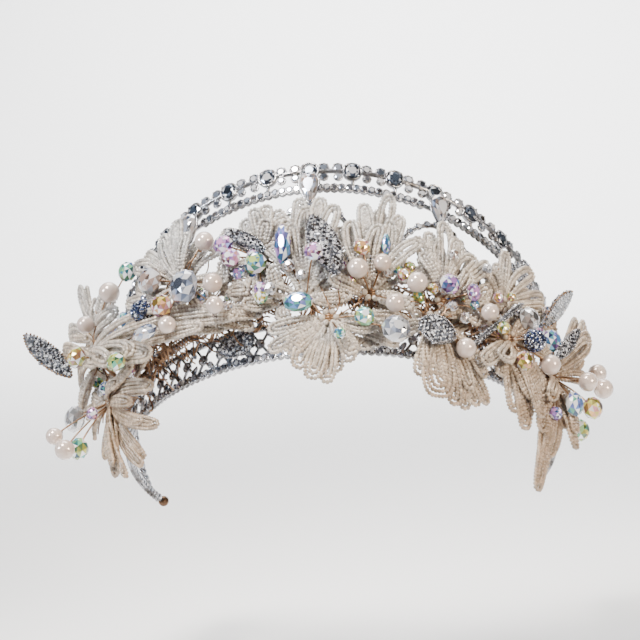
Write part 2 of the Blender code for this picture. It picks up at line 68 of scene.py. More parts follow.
@dataclass(frozen=True)
class Wall:
    """The rim wall: part of an ellipse that flares towards the crest and leans back as worn."""

    half_width: float = 64.6
    half_depth: float = 71.1
    side_flare: float = 3.4
    front_flare: float = 3.8
    flare_height: float = 57.3
    lean: float = 34.0

    def leaned(self, vectors: np.ndarray) -> np.ndarray:
        """Turn vectors from the upright crown to the crown as worn."""
        c, s = np.cos(np.radians(self.lean)), np.sin(np.radians(self.lean))
        x, y, z = np.moveaxis(np.asarray(vectors, float), -1, 0)
        return np.stack([x, y * c + z * s, z * c - y * s], -1)

    def spot(self, around, height, stand_off=0.0) -> np.ndarray:
        """Place on the crown: an ellipse point at an angle, grown by flare and stand-off, then leaned.

        Args:
            around: angle in degrees, a number or an array.
            height: mm above the rim's bottom edge.
            stand_off: mm outwards from the wall.

        Returns:
            Places in metres, with a last axis of three.
        """
        around, height, stand_off = np.broadcast_arrays(
            *(np.asarray(value, float) for value in (around, height, stand_off)))
        flare = height / self.flare_height
        wide = self.half_width + self.side_flare * flare + stand_off
        deep = self.half_depth + self.front_flare * flare + stand_off
        angle = np.radians(around)
        upright = np.stack([wide * np.sin(angle), -deep * np.cos(angle), height], -1)
        return self.leaned(upright) * MM

    def axes(self, around) -> np.ndarray:
        """Unit vectors along the rim, upwards and outwards at each angle, as rows of a matrix."""
        angle = np.radians(np.asarray(around, float))
        out = np.stack([np.sin(angle) / self.half_width, -np.cos(angle) / self.half_depth, 0 * angle], -1)
        out /= np.linalg.norm(out, axis=-1, keepdims=True)
        up = np.broadcast_to(np.array([0.0, 0.0, 1.0]), out.shape)
        return self.leaned(np.stack([np.cross(up, out), up, out], -2))


WALL = Wall()


@dataclass
class Mould:
    """Gathers numpy geometry for one piece: vertices, triangles, smoothness and face values."""

    name: str
    points: list = field(default_factory=list)
    faces: list = field(default_factory=list)
    smooth: list = field(default_factory=list)
    slots: list = field(default_factory=list)
    hue: list = field(default_factory=list)
    # each face's flash value: a bead's own tone; on stones, a facet's painted shade and painted glint
    flash: list = field(default_factory=list)
    count: int = 0

    def add(self, points: np.ndarray, faces: np.ndarray, slot: int = 0, smooth: bool = True,
            hue=0.5, flash=0.5) -> None:
        """Add a closed shape.

        Args:
            points: (n, 3) places in metres.
            faces: (m, 3) triangle corners.
            slot: index of the piece's material.
            smooth: whether the faces are shaded smooth.
            hue: colour value of each face, or one for all.
            flash: brightness value of each face, or one for all; a bead's own tone, and on stones a facet's
                painted shade and painted glint.
        """
        total = len(faces)
        self.points.append(points)
        self.faces.append(faces + self.count)
        self.smooth.append(np.full(total, smooth))
        self.slots.append(np.full(total, slot))
        self.hue.append(np.broadcast_to(np.asarray(hue, float), (total,)))
        self.flash.append(np.broadcast_to(np.asarray(flash, float), (total,)))
        self.count += len(points)

    def cast(self, materials: list, replaces: tuple = ()) -> bpy.types.Object:
        """Make the piece, dress it, tie it to the crown's body and hide the CAD nodes that it replaces.

        Args:
            materials: the materials in slot order.
            replaces: CAD nodes that the piece stands for.

        Returns:
            The new object.
        """
        points, faces = np.concatenate(self.points), np.concatenate(self.faces)
        mesh = bpy.data.meshes.new(self.name)
        mesh.vertices.add(len(points))
        mesh.vertices.foreach_set("co", points.astype(np.float32).ravel())
        mesh.loops.add(3 * len(faces))
        mesh.loops.foreach_set("vertex_index", faces.astype(np.int32).ravel())
        mesh.polygons.add(len(faces))
        mesh.polygons.foreach_set("loop_start", np.arange(0, 3 * len(faces), 3, dtype=np.int32))
        mesh.polygons.foreach_set("material_index", np.concatenate(self.slots).astype(np.int32))
        mesh.polygons.foreach_set("use_smooth", np.concatenate(self.smooth))
        for name, values in (("hue", self.hue), ("flash", self.flash)):
            layer = mesh.attributes.new(name, "FLOAT", "FACE")
            layer.data.foreach_set("value", np.concatenate(values).astype(np.float32))
        mesh.update(calc_edges=True)
        piece = bpy.data.objects.new(self.name, mesh)
        bpy.context.scene.collection.objects.link(piece)
        for material in materials:
            mesh.materials.append(material)
        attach(piece, BODY)
        if replaces:
            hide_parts(*replaces)
        log.info("%s: %d triangles", self.name, len(faces))
        return piece


def even_turns(count: int) -> np.ndarray:
    """Angles in even steps round a full turn."""
    return np.arange(count) / count * 2 * np.pi


def globe(fall: np.ndarray, turn: np.ndarray) -> np.ndarray:
    """Unit places on a ball: sine of the angle from the pole times the turn, cosine for the height."""
    return np.stack([np.outer(np.sin(fall), np.cos(turn)), np.outer(np.sin(fall), np.sin(turn)),
                     np.outer(np.cos(fall), np.ones(len(turn)))], -1).reshape(-1, 3)


def ring_faces(rings: int, sides: int, loop: bool) -> np.ndarray:
    """Triangles between successive rings of points; a loop's last ring meets its first."""
    bands = rings if loop else rings - 1
    i, k = np.meshgrid(np.arange(bands), np.arange(sides), indexing="ij")
    a, b = i * sides + k, i * sides + (k + 1) % sides
    c, d = (i + 1) % rings * sides + (k + 1) % sides, (i + 1) % rings * sides + k
    return np.concatenate([np.stack([a, b, c], -1).reshape(-1, 3), np.stack([a, c, d], -1).reshape(-1, 3)])


def fan(first: int, sides: int, turned: bool) -> np.ndarray:
    """Triangles that close one ring with a flat cap."""
    k = np.arange(1, sides - 1)
    cap = np.stack([np.full(sides - 2, first), first + k, first + k + 1], -1)
    return cap[:, ::-1] if turned else cap


def capped(rings: int, sides: int) -> np.ndarray:
    """Triangles of successive rings with both ends closed."""
    return np.concatenate([ring_faces(rings, sides, False)[:, ::-1], fan(0, sides, False),
                           fan((rings - 1) * sides, sides, True)])


def tube(path: np.ndarray, radius, sides: int, towards: np.ndarray, loop: bool = False):
    """A wire carried along a path: each ring is the path point plus radius times a turning unit vector.

    Args:
        path: (n, 3) places in metres.
        radius: radius in mm, a number or one for each point.
        sides: points of each ring.
        towards: a direction, or one for each point, that the rings are lined up with.
        loop: whether the path closes on itself.

    Returns:
        Points and triangles.
    """
    step = np.roll(path, -1, 0) - np.roll(path, 1, 0) if loop else np.gradient(path, axis=0)
    ahead = step / np.linalg.norm(step, axis=1, keepdims=True)
    side = np.cross(ahead, np.broadcast_to(towards, path.shape))
    side /= np.linalg.norm(side, axis=1, keepdims=True) + 1e-12
    over = np.cross(side, ahead)
    turn = even_turns(sides)
    size = np.broadcast_to(np.asarray(radius, float), (len(path),))[:, None, None] * MM
    ring = np.cos(turn)[None, :, None] * side[:, None] + np.sin(turn)[None, :, None] * over[:, None]
    points = (path[:, None] + size * ring).reshape(-1, 3)
    faces = ring_faces(len(path), sides, True)[:, ::-1] if loop else capped(len(path), sides)
    return points, faces


def sphere(centre: np.ndarray, radius: float, sides: int = 28, rings: int = 14):
    """A ball with its poles closed by small caps: sine rings times cosine heights."""
    fall = np.linspace(0.06, np.pi - 0.06, rings)
    return centre + globe(fall, even_turns(sides)) * radius * MM, capped(rings, sides)


@dataclass(frozen=True)
class Cut:
    """A stone's cut: rings of (size, depth), each turned half a step against the last, with flat ends."""

    levels: tuple
    sides: int = 8
    pointed: bool = False

    def template(self):
        """Unit points, triangles and the number of the facet that each triangle lies in."""
        turn = even_turns(self.sides)
        rows = []
        for k, (size, depth) in enumerate(self.levels):
            angle = turn + (k % 2) * np.pi / self.sides
            x, y = np.sin(angle), np.cos(angle)
            if self.pointed:
                x = x * 1.25 * (0.35 + 0.65 * (0.5 + 0.5 * np.cos(angle)))
            rows.append(np.stack([size * x, size * y, np.full(self.sides, depth)], -1))
        points = np.concatenate(rows)
        total, faces = len(self.levels), []
        for k in range(total - 1):
            a = k * self.sides + np.arange(self.sides)
            b = k * self.sides + (np.arange(self.sides) + 1) % self.sides
            c, d = a + self.sides, b + self.sides
            if k % 2 == 0:
                faces += [np.stack([a, c, b], -1), np.stack([b, c, d], -1)]
            else:
                faces += [np.stack([a, c, d], -1), np.stack([a, d, b], -1)]
        ends = [fan(0, self.sides, False), fan((total - 1) * self.sides, self.sides, True)]
        facets = np.concatenate([np.arange(sum(map(len, faces))), *(np.full(len(e), 10000 + n)
                                                                    for n, e in enumerate(ends))])
        return points, np.concatenate(faces + ends), np.unique(facets, return_inverse=True)[1]


BRILLIANT = Cut(((0.30, -0.80), (1.0, -0.08), (1.0, 0.08), (0.80, 0.30), (0.50, 0.42)))
CHATON = Cut(((0.75, -0.45), (1.0, 0.0), (0.58, 0.38)))
RONDELLE = Cut(((0.36, -0.80), (0.78, -0.52), (1.0, -0.06), (0.90, 0.34), (0.62, 0.66), (0.34, 0.78)), 9)
PEAR = Cut(((0.45, -0.40), (1.0, -0.10), (1.0, 0.10), (0.80, 0.36), (0.50, 0.50)), 12, True)


def placed(points: np.ndarray, centres: np.ndarray, axes: np.ndarray, sizes: np.ndarray) -> np.ndarray:
    """Unit points times each place's sizes in mm, turned by its axes: (places, points, 3) in metres."""
    return np.einsum("vi,ni,nij->nvj", points, sizes, axes) * MM + centres[:, None]


def stamp(points: np.ndarray, faces: np.ndarray, centres: np.ndarray, axes: np.ndarray,
          sizes: np.ndarray) -> tuple:
    """Copies of one unit shape at many places, as points and triangles."""
    every = faces[None] + np.arange(len(centres))[:, None, None] * len(points)
    return placed(points, centres, axes, sizes).reshape(-1, 3), every.reshape(-1, 3)


def set_stones(mould: Mould, cut: Cut, centres: np.ndarray, axes: np.ndarray, sizes: np.ndarray,
               hues, rng: np.random.Generator, slot: int, spread: float = 0.12) -> None:
    """Stamp one cut at many places: unit points times sizes, turned by each place's axes.

    Args:
        mould: the piece that takes the stones.
        cut: the cut of the stones.
        centres: (n, 3) places in metres.
        axes: (n, 3, 3) rows along, up and out.
        sizes: (n, 3) half sizes in mm.
        hues: colour value of each stone, or one for all.
        rng: source of the facets' own values: hue strays and the flash values of painted shade and painted
            glints.
        slot: index of the stones' material.
        spread: how far a facet's colour value strays from its stone's.
    """
    points, faces, facet = cut.template()
    total = len(centres)
    # flash values of the facets: low ones get painted shade, high ones a painted white glint
    shade = rng.random((total, facet.max() + 1))[:, facet]
    stray = (rng.random((total, facet.max() + 1))[:, facet] - 0.5) * 2 * spread
    hue = np.broadcast_to(np.asarray(hues, float), (total,))[:, None] + stray
    mould.add(*stamp(points, faces[:, ::-1], centres, axes, sizes), slot, False,
              hue.ravel() % 1.0, shade.ravel())


def set_cups(mould: Mould, centres: np.ndarray, axes: np.ndarray, radii: np.ndarray, slot: int,
             sides: int = 8) -> None:
    """Metal cups: a ring profile turned about each stone's outward axis, with prongs on big stones."""
    profile = np.array([(0.86, -0.55), (1.16, -0.50), (1.22, 0.02), (1.04, 0.16), (0.98, -0.02)])
    turn = even_turns(sides)
    ring = np.stack([np.outer(profile[:, 0], np.sin(turn)), np.outer(profile[:, 0], np.cos(turn)),
                     np.outer(profile[:, 1], np.ones(sides))], -1).reshape(-1, 3)
    faces = ring_faces(len(profile), sides, True)[:, ::-1]
    sizes = np.repeat(radii[:, None], 3, 1)
    mould.add(*stamp(ring, faces, centres, axes, sizes), slot)
    if radii.min() < PRONGED_FROM:
        return
    prong_turn = (np.arange(4) + 0.5) / 4 * 2 * np.pi
    prong = np.stack([np.sin(prong_turn), np.cos(prong_turn), 0.12 + 0 * prong_turn], -1) * 1.02
    spots = placed(prong, centres, axes, sizes).reshape(-1, 3)
    set_knobs(mould, spots, np.repeat(axes, 4, 0), np.repeat(radii * 0.2, 4), slot)


def set_knobs(mould: Mould, centres: np.ndarray, axes: np.ndarray, radii: np.ndarray, slot: int) -> None:
    """Small smooth grains of metal, each a ball of three rings of six."""
    fall = np.array([0.45, 1.25, 2.2])
    sizes = np.repeat(radii[:, None], 3, 1)
    mould.add(*stamp(globe(fall, even_turns(6)), capped(3, 6), centres, axes, sizes), slot)


def link(tree: bpy.types.NodeTree, source: bpy.types.NodeSocket, target: bpy.types.NodeSocket) -> None:
    """Join two sockets."""
    tree.links.new(source, target)


def put(node: bpy.types.Node, values: dict) -> None:
    """Set inputs of a node by their names."""
    for name, value in values.items():
        node.inputs[name].default_value = value


def attribute(tree: bpy.types.NodeTree, name: str) -> bpy.types.NodeSocket:
    """A face value that is stored with the mesh."""
    node = tree.nodes.new("ShaderNodeAttribute")
    node.attribute_name = name
    return node.outputs["Fac"]


def mapped(tree: bpy.types.NodeTree, source: bpy.types.NodeSocket, values: dict) -> bpy.types.NodeSocket:
    """A value taken from one range to another."""
    node = tree.nodes.new("ShaderNodeMapRange")
    put(node, values)
    link(tree, source, node.inputs["Value"])
    return node.outputs["Result"]


def multiplied(tree: bpy.types.NodeTree, colour: bpy.types.NodeSocket,
               tone: bpy.types.NodeSocket) -> bpy.types.NodeSocket:
    """A colour times a tone."""
    node = tree.nodes.new("ShaderNodeMix")
    node.data_type, node.blend_type = "RGBA", "MULTIPLY"
    put(node, {"Factor": 1.0})
    link(tree, colour, node.inputs[MIX_A])
    link(tree, tone, node.inputs[MIX_B])
    return node.outputs[MIX_RESULT]


def grained(tree: bpy.types.NodeTree, values: dict) -> bpy.types.Node:
    """The shared grain at the given scales."""
    node = tree.nodes.new("ShaderNodeGroup")
    node.node_tree = grain_group()
    put(node, values)
    return node


def bumped(tree: bpy.types.NodeTree, shader: bpy.types.Node, grain: bpy.types.Node, strength: float) -> None:
    """Let the grain's fine height raise the surface."""
    node = tree.nodes.new("ShaderNodeBump")
    put(node, {"Strength": strength, "Distance": BUMP_DEPTH})
    link(tree, grain.outputs["Height"], node.inputs["Height"])
    link(tree, node.outputs["Normal"], shader.inputs["Normal"])


def coloured(tree: bpy.types.NodeTree, source: bpy.types.NodeSocket, stops: tuple) -> bpy.types.NodeSocket:
    """The colour of a ramp at a value."""
    node = ramp_node(tree, stops)
    link(tree, source, node.inputs["Fac"])
    return node.outputs["Color"]


def grain_group() -> bpy.types.NodeTree:
    """Shared effect: a broad tone and a fine height from two noises on object coordinates."""
    group = bpy.data.node_groups.get("maker_grain")
    if group:
        return group
    group = bpy.data.node_groups.new("maker_grain", "ShaderNodeTree")
    for name, value in (("Broad Scale", 40.0), ("Fine Scale", 900.0)):
        group.interface.new_socket(name, in_out="INPUT", socket_type="NodeSocketFloat").default_value = value
    group.interface.new_socket("Tone", in_out="OUTPUT", socket_type="NodeSocketFloat")
    group.interface.new_socket("Height", in_out="OUTPUT", socket_type="NodeSocketFloat")
    inside, outside = group.nodes.new("NodeGroupInput"), group.nodes.new("NodeGroupOutput")
    place = group.nodes.new("ShaderNodeTexCoord")
    for socket, target in (("Broad Scale", "Tone"), ("Fine Scale", "Height")):
        noise = group.nodes.new("ShaderNodeTexNoise")
        noise.inputs["Detail"].default_value = 4.0
        link(group, place.outputs["Object"], noise.inputs["Vector"])
        link(group, inside.outputs[socket], noise.inputs["Scale"])
        link(group, noise.outputs["Fac"], outside.inputs[target])
    return group


def facet_group() -> bpy.types.NodeTree:
    """Shared effect: painted shade and painted glints on facets, a facet's hue colour dimmed or painted white
    by its flash value.
    """
    group = bpy.data.node_groups.get("facet_painted_glints")
    if group:
        return group
    group = bpy.data.node_groups.new("facet_painted_glints", "ShaderNodeTree")
    group.interface.new_socket("Hue Color", in_out="INPUT", socket_type="NodeSocketColor")
    group.interface.new_socket("Dark", in_out="INPUT", socket_type="NodeSocketFloat").default_value = 0.1
    group.interface.new_socket("Glint Above", in_out="INPUT",
                               socket_type="NodeSocketFloat").default_value = 0.8
    group.interface.new_socket("Color", in_out="OUTPUT", socket_type="NodeSocketColor")
    inside, outside = group.nodes.new("NodeGroupInput"), group.nodes.new("NodeGroupOutput")
    flash = attribute(group, "flash")
    # painted shade: facets with a low flash value are darkened towards the Dark value
    painted_facet_shade = group.nodes.new("ShaderNodeMapRange")
    put(painted_facet_shade, {"From Max": 0.75})
    link(group, flash, painted_facet_shade.inputs["Value"])
    link(group, inside.outputs["Dark"], painted_facet_shade.inputs["To Min"])
    shade = multiplied(group, inside.outputs["Hue Color"], painted_facet_shade.outputs["Result"])
    # painted glint: facets whose flash value passes the threshold are painted near white
    bright = group.nodes.new("ShaderNodeMath")
    bright.operation = "GREATER_THAN"
    link(group, flash, bright.inputs[0])
    link(group, inside.outputs["Glint Above"], bright.inputs[1])
    painted_glint = group.nodes.new("ShaderNodeMix")
    painted_glint.data_type = "RGBA"
    painted_glint.inputs[MIX_B].default_value = (0.95, 0.96, 1.0, 1.0)
    link(group, bright.outputs[0], painted_glint.inputs["Factor"])
    link(group, shade, painted_glint.inputs[MIX_A])
    link(group, painted_glint.outputs[MIX_RESULT], outside.inputs["Color"])
    return group


def new_material(name: str):
    """A node material with its Principled shader."""
    material = bpy.data.materials.new(name)
    material.use_nodes = True
    return material, material.node_tree, material.node_tree.nodes["Principled BSDF"]


def ramp_node(tree: bpy.types.NodeTree, stops: tuple) -> bpy.types.Node:
    """A colour ramp with the given (position, colour) stops."""
    node = tree.nodes.new("ShaderNodeValToRGB")
    ramp = node.color_ramp
    ramp.elements[0].position, ramp.elements[0].color = stops[0][0], (*stops[0][1], 1.0)
    ramp.elements[1].position, ramp.elements[1].color = stops[-1][0], (*stops[-1][1], 1.0)
    for position, colour in stops[1:-1]:
        ramp.elements.new(position).color = (*colour, 1.0)
    return node


@dataclass(frozen=True)
class MetalFinish:
    """Plated or bare metal with a mottled tone, worn roughness and a fine hammered bump."""

    name: str
    light: tuple
    dark: tuple
    roughness: float
    bump: float = 0.15

    def build(self) -> bpy.types.Material:
        """Make the material."""
        material, tree, shader = new_material(self.name)
        grain = grained(tree, {"Broad Scale": 160.0, "Fine Scale": 1400.0})
        tone = grain.outputs["Tone"]
        link(tree, coloured(tree, tone, ((0.36, self.dark), (0.58, self.light))), shader.inputs["Base Color"])
        rough = mapped(tree, tone, {"To Min": self.roughness * 1.5, "To Max": self.roughness * 0.6})
        link(tree, rough, shader.inputs["Roughness"])
        bumped(tree, shader, grain, self.bump)
        put(shader, {"Metallic": 1.0})
        return material


@dataclass(frozen=True)
class StoneFinish:
    """Cut glass on foil: every facet has its own hue and flash value, which paints shade on some facets and
    white glints on others in place of reflections.
    """

    name: str
    hues: tuple
    # the deepest painted shade of a dimmed facet
    dark: float
    # the flash value above which a facet is painted near white, a painted glint
    glint_above: float
    metallic: float
    transmission: float = 0.0
    roughness: float = 0.06

    def build(self) -> bpy.types.Material:
        """Make the material."""
        material, tree, shader = new_material(self.name)
        steps = len(self.hues) - 1
        stops = tuple((k / steps, colour) for k, colour in enumerate(self.hues))
        facets = tree.nodes.new("ShaderNodeGroup")
        facets.node_tree = facet_group()
        put(facets, {"Dark": self.dark, "Glint Above": self.glint_above})
        link(tree, coloured(tree, attribute(tree, "hue"), stops), facets.inputs["Hue Color"])
        link(tree, facets.outputs["Color"], shader.inputs["Base Color"])
        put(shader, {"Metallic": self.metallic, "Roughness": self.roughness, "IOR": 1.55,
                     "Transmission Weight": self.transmission, "Coat Weight": 0.8, "Coat Roughness": 0.03})
        return material


@dataclass(frozen=True)
class BeadFinish:
    """Ivory glass seed beads, each bead its own tone and mottled by a broad grain; painted light makes them a
    paler cool white high on the crown and painted shade a darker warm tan lower down.
    """

    name: str
    cool: tuple
    ivory: tuple
    warm: tuple
    painted_light_height: float = 0.085
    painted_shade_height: float = -0.02

    def build(self) -> bpy.types.Material:
        """Make the material."""
        material, tree, shader = new_material(self.name)
        place = tree.nodes.new("ShaderNodeTexCoord")
        axes = tree.nodes.new("ShaderNodeSeparateXYZ")
        link(tree, place.outputs["Object"], axes.inputs["Vector"])
        # painted shade by height: 0 high on the crown, 1 lower down, which pushes the bead colour to the
        # darker warm tan
        painted_shade_low = mapped(tree, axes.outputs["Z"], {"From Min": self.painted_light_height, "From Max": self.painted_shade_height})
        grain = grained(tree, {"Broad Scale": 55.0, "Fine Scale": 1600.0})
        stray = tree.nodes.new("ShaderNodeMath")
        stray.operation = "MULTIPLY_ADD"
        stray.inputs[1].default_value = 0.75
        link(tree, grain.outputs["Tone"], stray.inputs[0])
        link(tree, painted_shade_low, stray.inputs[2])
        colour = coloured(tree, stray.outputs[0], ((0.45, self.cool), (0.85, self.ivory), (1.0, self.warm)))
        own = mapped(tree, attribute(tree, "flash"), {"To Min": 0.6, "To Max": 1.15})
        link(tree, multiplied(tree, colour, own), shader.inputs["Base Color"])
        rough = mapped(tree, grain.outputs["Height"], {"To Min": 0.10, "To Max": 0.24})
        link(tree, rough, shader.inputs["Roughness"])
        put(shader, {"Coat Weight": 0.5, "Coat Roughness": 0.08, "IOR": 1.52})
        return material


@dataclass(frozen=True)
class PearlFinish:
    """Imitation pearl: pinkish ivory nacre, softly clouded, under a glossy coat."""

    name: str
    light: tuple
    dark: tuple

    def build(self) -> bpy.types.Material:
        """Make the material."""
        material, tree, shader = new_material(self.name)
        grain = grained(tree, {"Broad Scale": 180.0, "Fine Scale": 2200.0})
        colour = coloured(tree, grain.outputs["Tone"], ((0.35, self.dark), (0.65, self.light)))
        link(tree, colour, shader.inputs["Base Color"])
        bumped(tree, shader, grain, 0.05)
        put(shader, {"Roughness": 0.2, "Metallic": 0.25, "Coat Weight": 1.0, "Coat Roughness": 0.05,
                     "Sheen Weight": 0.25})
        return material


@dataclass(frozen=True)
class Palette:
    """The crown's finishes, built once."""

    silver: bpy.types.Material
    copper: bpy.types.Material
    dark_metal: bpy.types.Material
    rhinestone: bpy.types.Material
    smoke: bpy.types.Material
    rainbow: bpy.types.Material
    clear: bpy.types.Material
    beads: bpy.types.Material
    pearl: bpy.types.Material
    navy: bpy.types.Material
    gunmetal: bpy.types.Material


def mix_palette() -> Palette:
    """Build every finish of the crown."""
    rainbow = ((0.45, 0.25, 0.72), (0.82, 0.36, 0.58), (0.90, 0.48, 0.16), (0.72, 0.76, 0.16),
               (0.16, 0.62, 0.42), (0.12, 0.32, 0.74), (0.45, 0.25, 0.72))
    return Palette(
        silver=MetalFinish("silver_plate", (0.40, 0.40, 0.42), (0.12, 0.11, 0.105), 0.26).build(),
        copper=MetalFinish("brown_wire", (0.36, 0.22, 0.13), (0.11, 0.065, 0.04), 0.34).build(),
        dark_metal=MetalFinish("dark_metal", (0.20, 0.20, 0.22), (0.06, 0.06, 0.065), 0.28).build(),
        # stone finishes: hues, then the painted shade floor, the painted glint threshold and metallic
        rhinestone=StoneFinish("grey_blue_stones", ((0.20, 0.17, 0.16), (0.26, 0.31, 0.40),
                                                    (0.55, 0.60, 0.70),
                                                    (0.74, 0.68, 0.64)), 0.10, 0.78, 0.6).build(),
        smoke=StoneFinish("dark_crest_stones", ((0.03, 0.04, 0.06), (0.09, 0.12, 0.17), (0.28, 0.33, 0.42)),
                          0.10, 0.80, 0.6).build(),
        rainbow=StoneFinish("rainbow_crystal", rainbow, 0.10, 0.78, 0.35).build(),
        clear=StoneFinish("clear_crystal", ((0.36, 0.48, 0.78), (0.62, 0.62, 0.62), (0.80, 0.55, 0.44)),
                          0.14, 0.74, 0.20, 0.45).build(),
        # beads: cool white, partly painted light at the top; ivory; darker warm tan, the painted shade of the
        # lower beads
        beads=BeadFinish("ivory_beads", (0.48, 0.46, 0.43), (0.46, 0.37, 0.28), (0.36, 0.26, 0.175)).build(),
        pearl=PearlFinish("nacre", (0.70, 0.58, 0.51), (0.58, 0.45, 0.38)).build(),
        navy=StoneFinish("navy_stones", ((0.01, 0.02, 0.07), (0.03, 0.05, 0.14), (0.12, 0.17, 0.34)),
                         0.25, 0.86, 0.5).build(),
        gunmetal=StoneFinish("gunmetal_stones", ((0.07, 0.06, 0.055), (0.09, 0.10, 0.12), (0.26, 0.28, 0.33)),
                             0.20, 0.74, 0.5).build(),
    )


@dataclass(frozen=True)
class FrameLines:
    """Heights of the frame's rails as functions of the angle round the rim."""

    crest: float = 57.3
    fall: float = 0.483
    shoulder: float = 75.0
    end: float = 105.0
    drop: float = 5.5
    meets: float = 84.0
    base: float = 1.1
    middle: float = 10.0
    garland: float = 15.0
    garland_fall: float = 9.0
    garland_end: float = 66.0
    garland_stand_off: float = 2.6

    def crest_height(self, around) -> np.ndarray:
        """The crest: a flattened cosine over the front, then a quarter wave down to the rim."""
        side = np.minimum(np.abs(around), self.shoulder)
        height = self.crest * (1 - self.fall * (1 - np.cos(np.radians(side))))
        past = np.clip((np.abs(around) - self.shoulder) / (self.end - self.shoulder), 0, 1)
        return self.base + (height - self.base) * np.cos(np.pi / 2 * past)

    def rail_height(self, around) -> np.ndarray:
        """The crest rail: one drop below the crest, ending on the rim."""
        crest = self.crest_height(around)
        return np.maximum(crest - self.drop * np.minimum(1.0, crest / self.drop / 2), self.base)

    def top_height(self, around) -> np.ndarray:
        """The line of big stones, which closes down on the rail behind the shoulder."""
        close = np.clip((np.abs(around) - self.shoulder) / (self.meets - self.shoulder), 0, 1)
        return self.crest_height(around) - close * (self.crest_height(around) - self.rail_height(around))

    def garland_height(self, around) -> np.ndarray:
        """The garland wire, which sinks towards its ends."""
        return self.garland - self.garland_fall * (np.asarray(around, float) / self.garland_end) ** 2


LINES = FrameLines()


def level(height: float):
    """A rule that gives the same height at every angle."""
    return lambda around: height + 0 * around


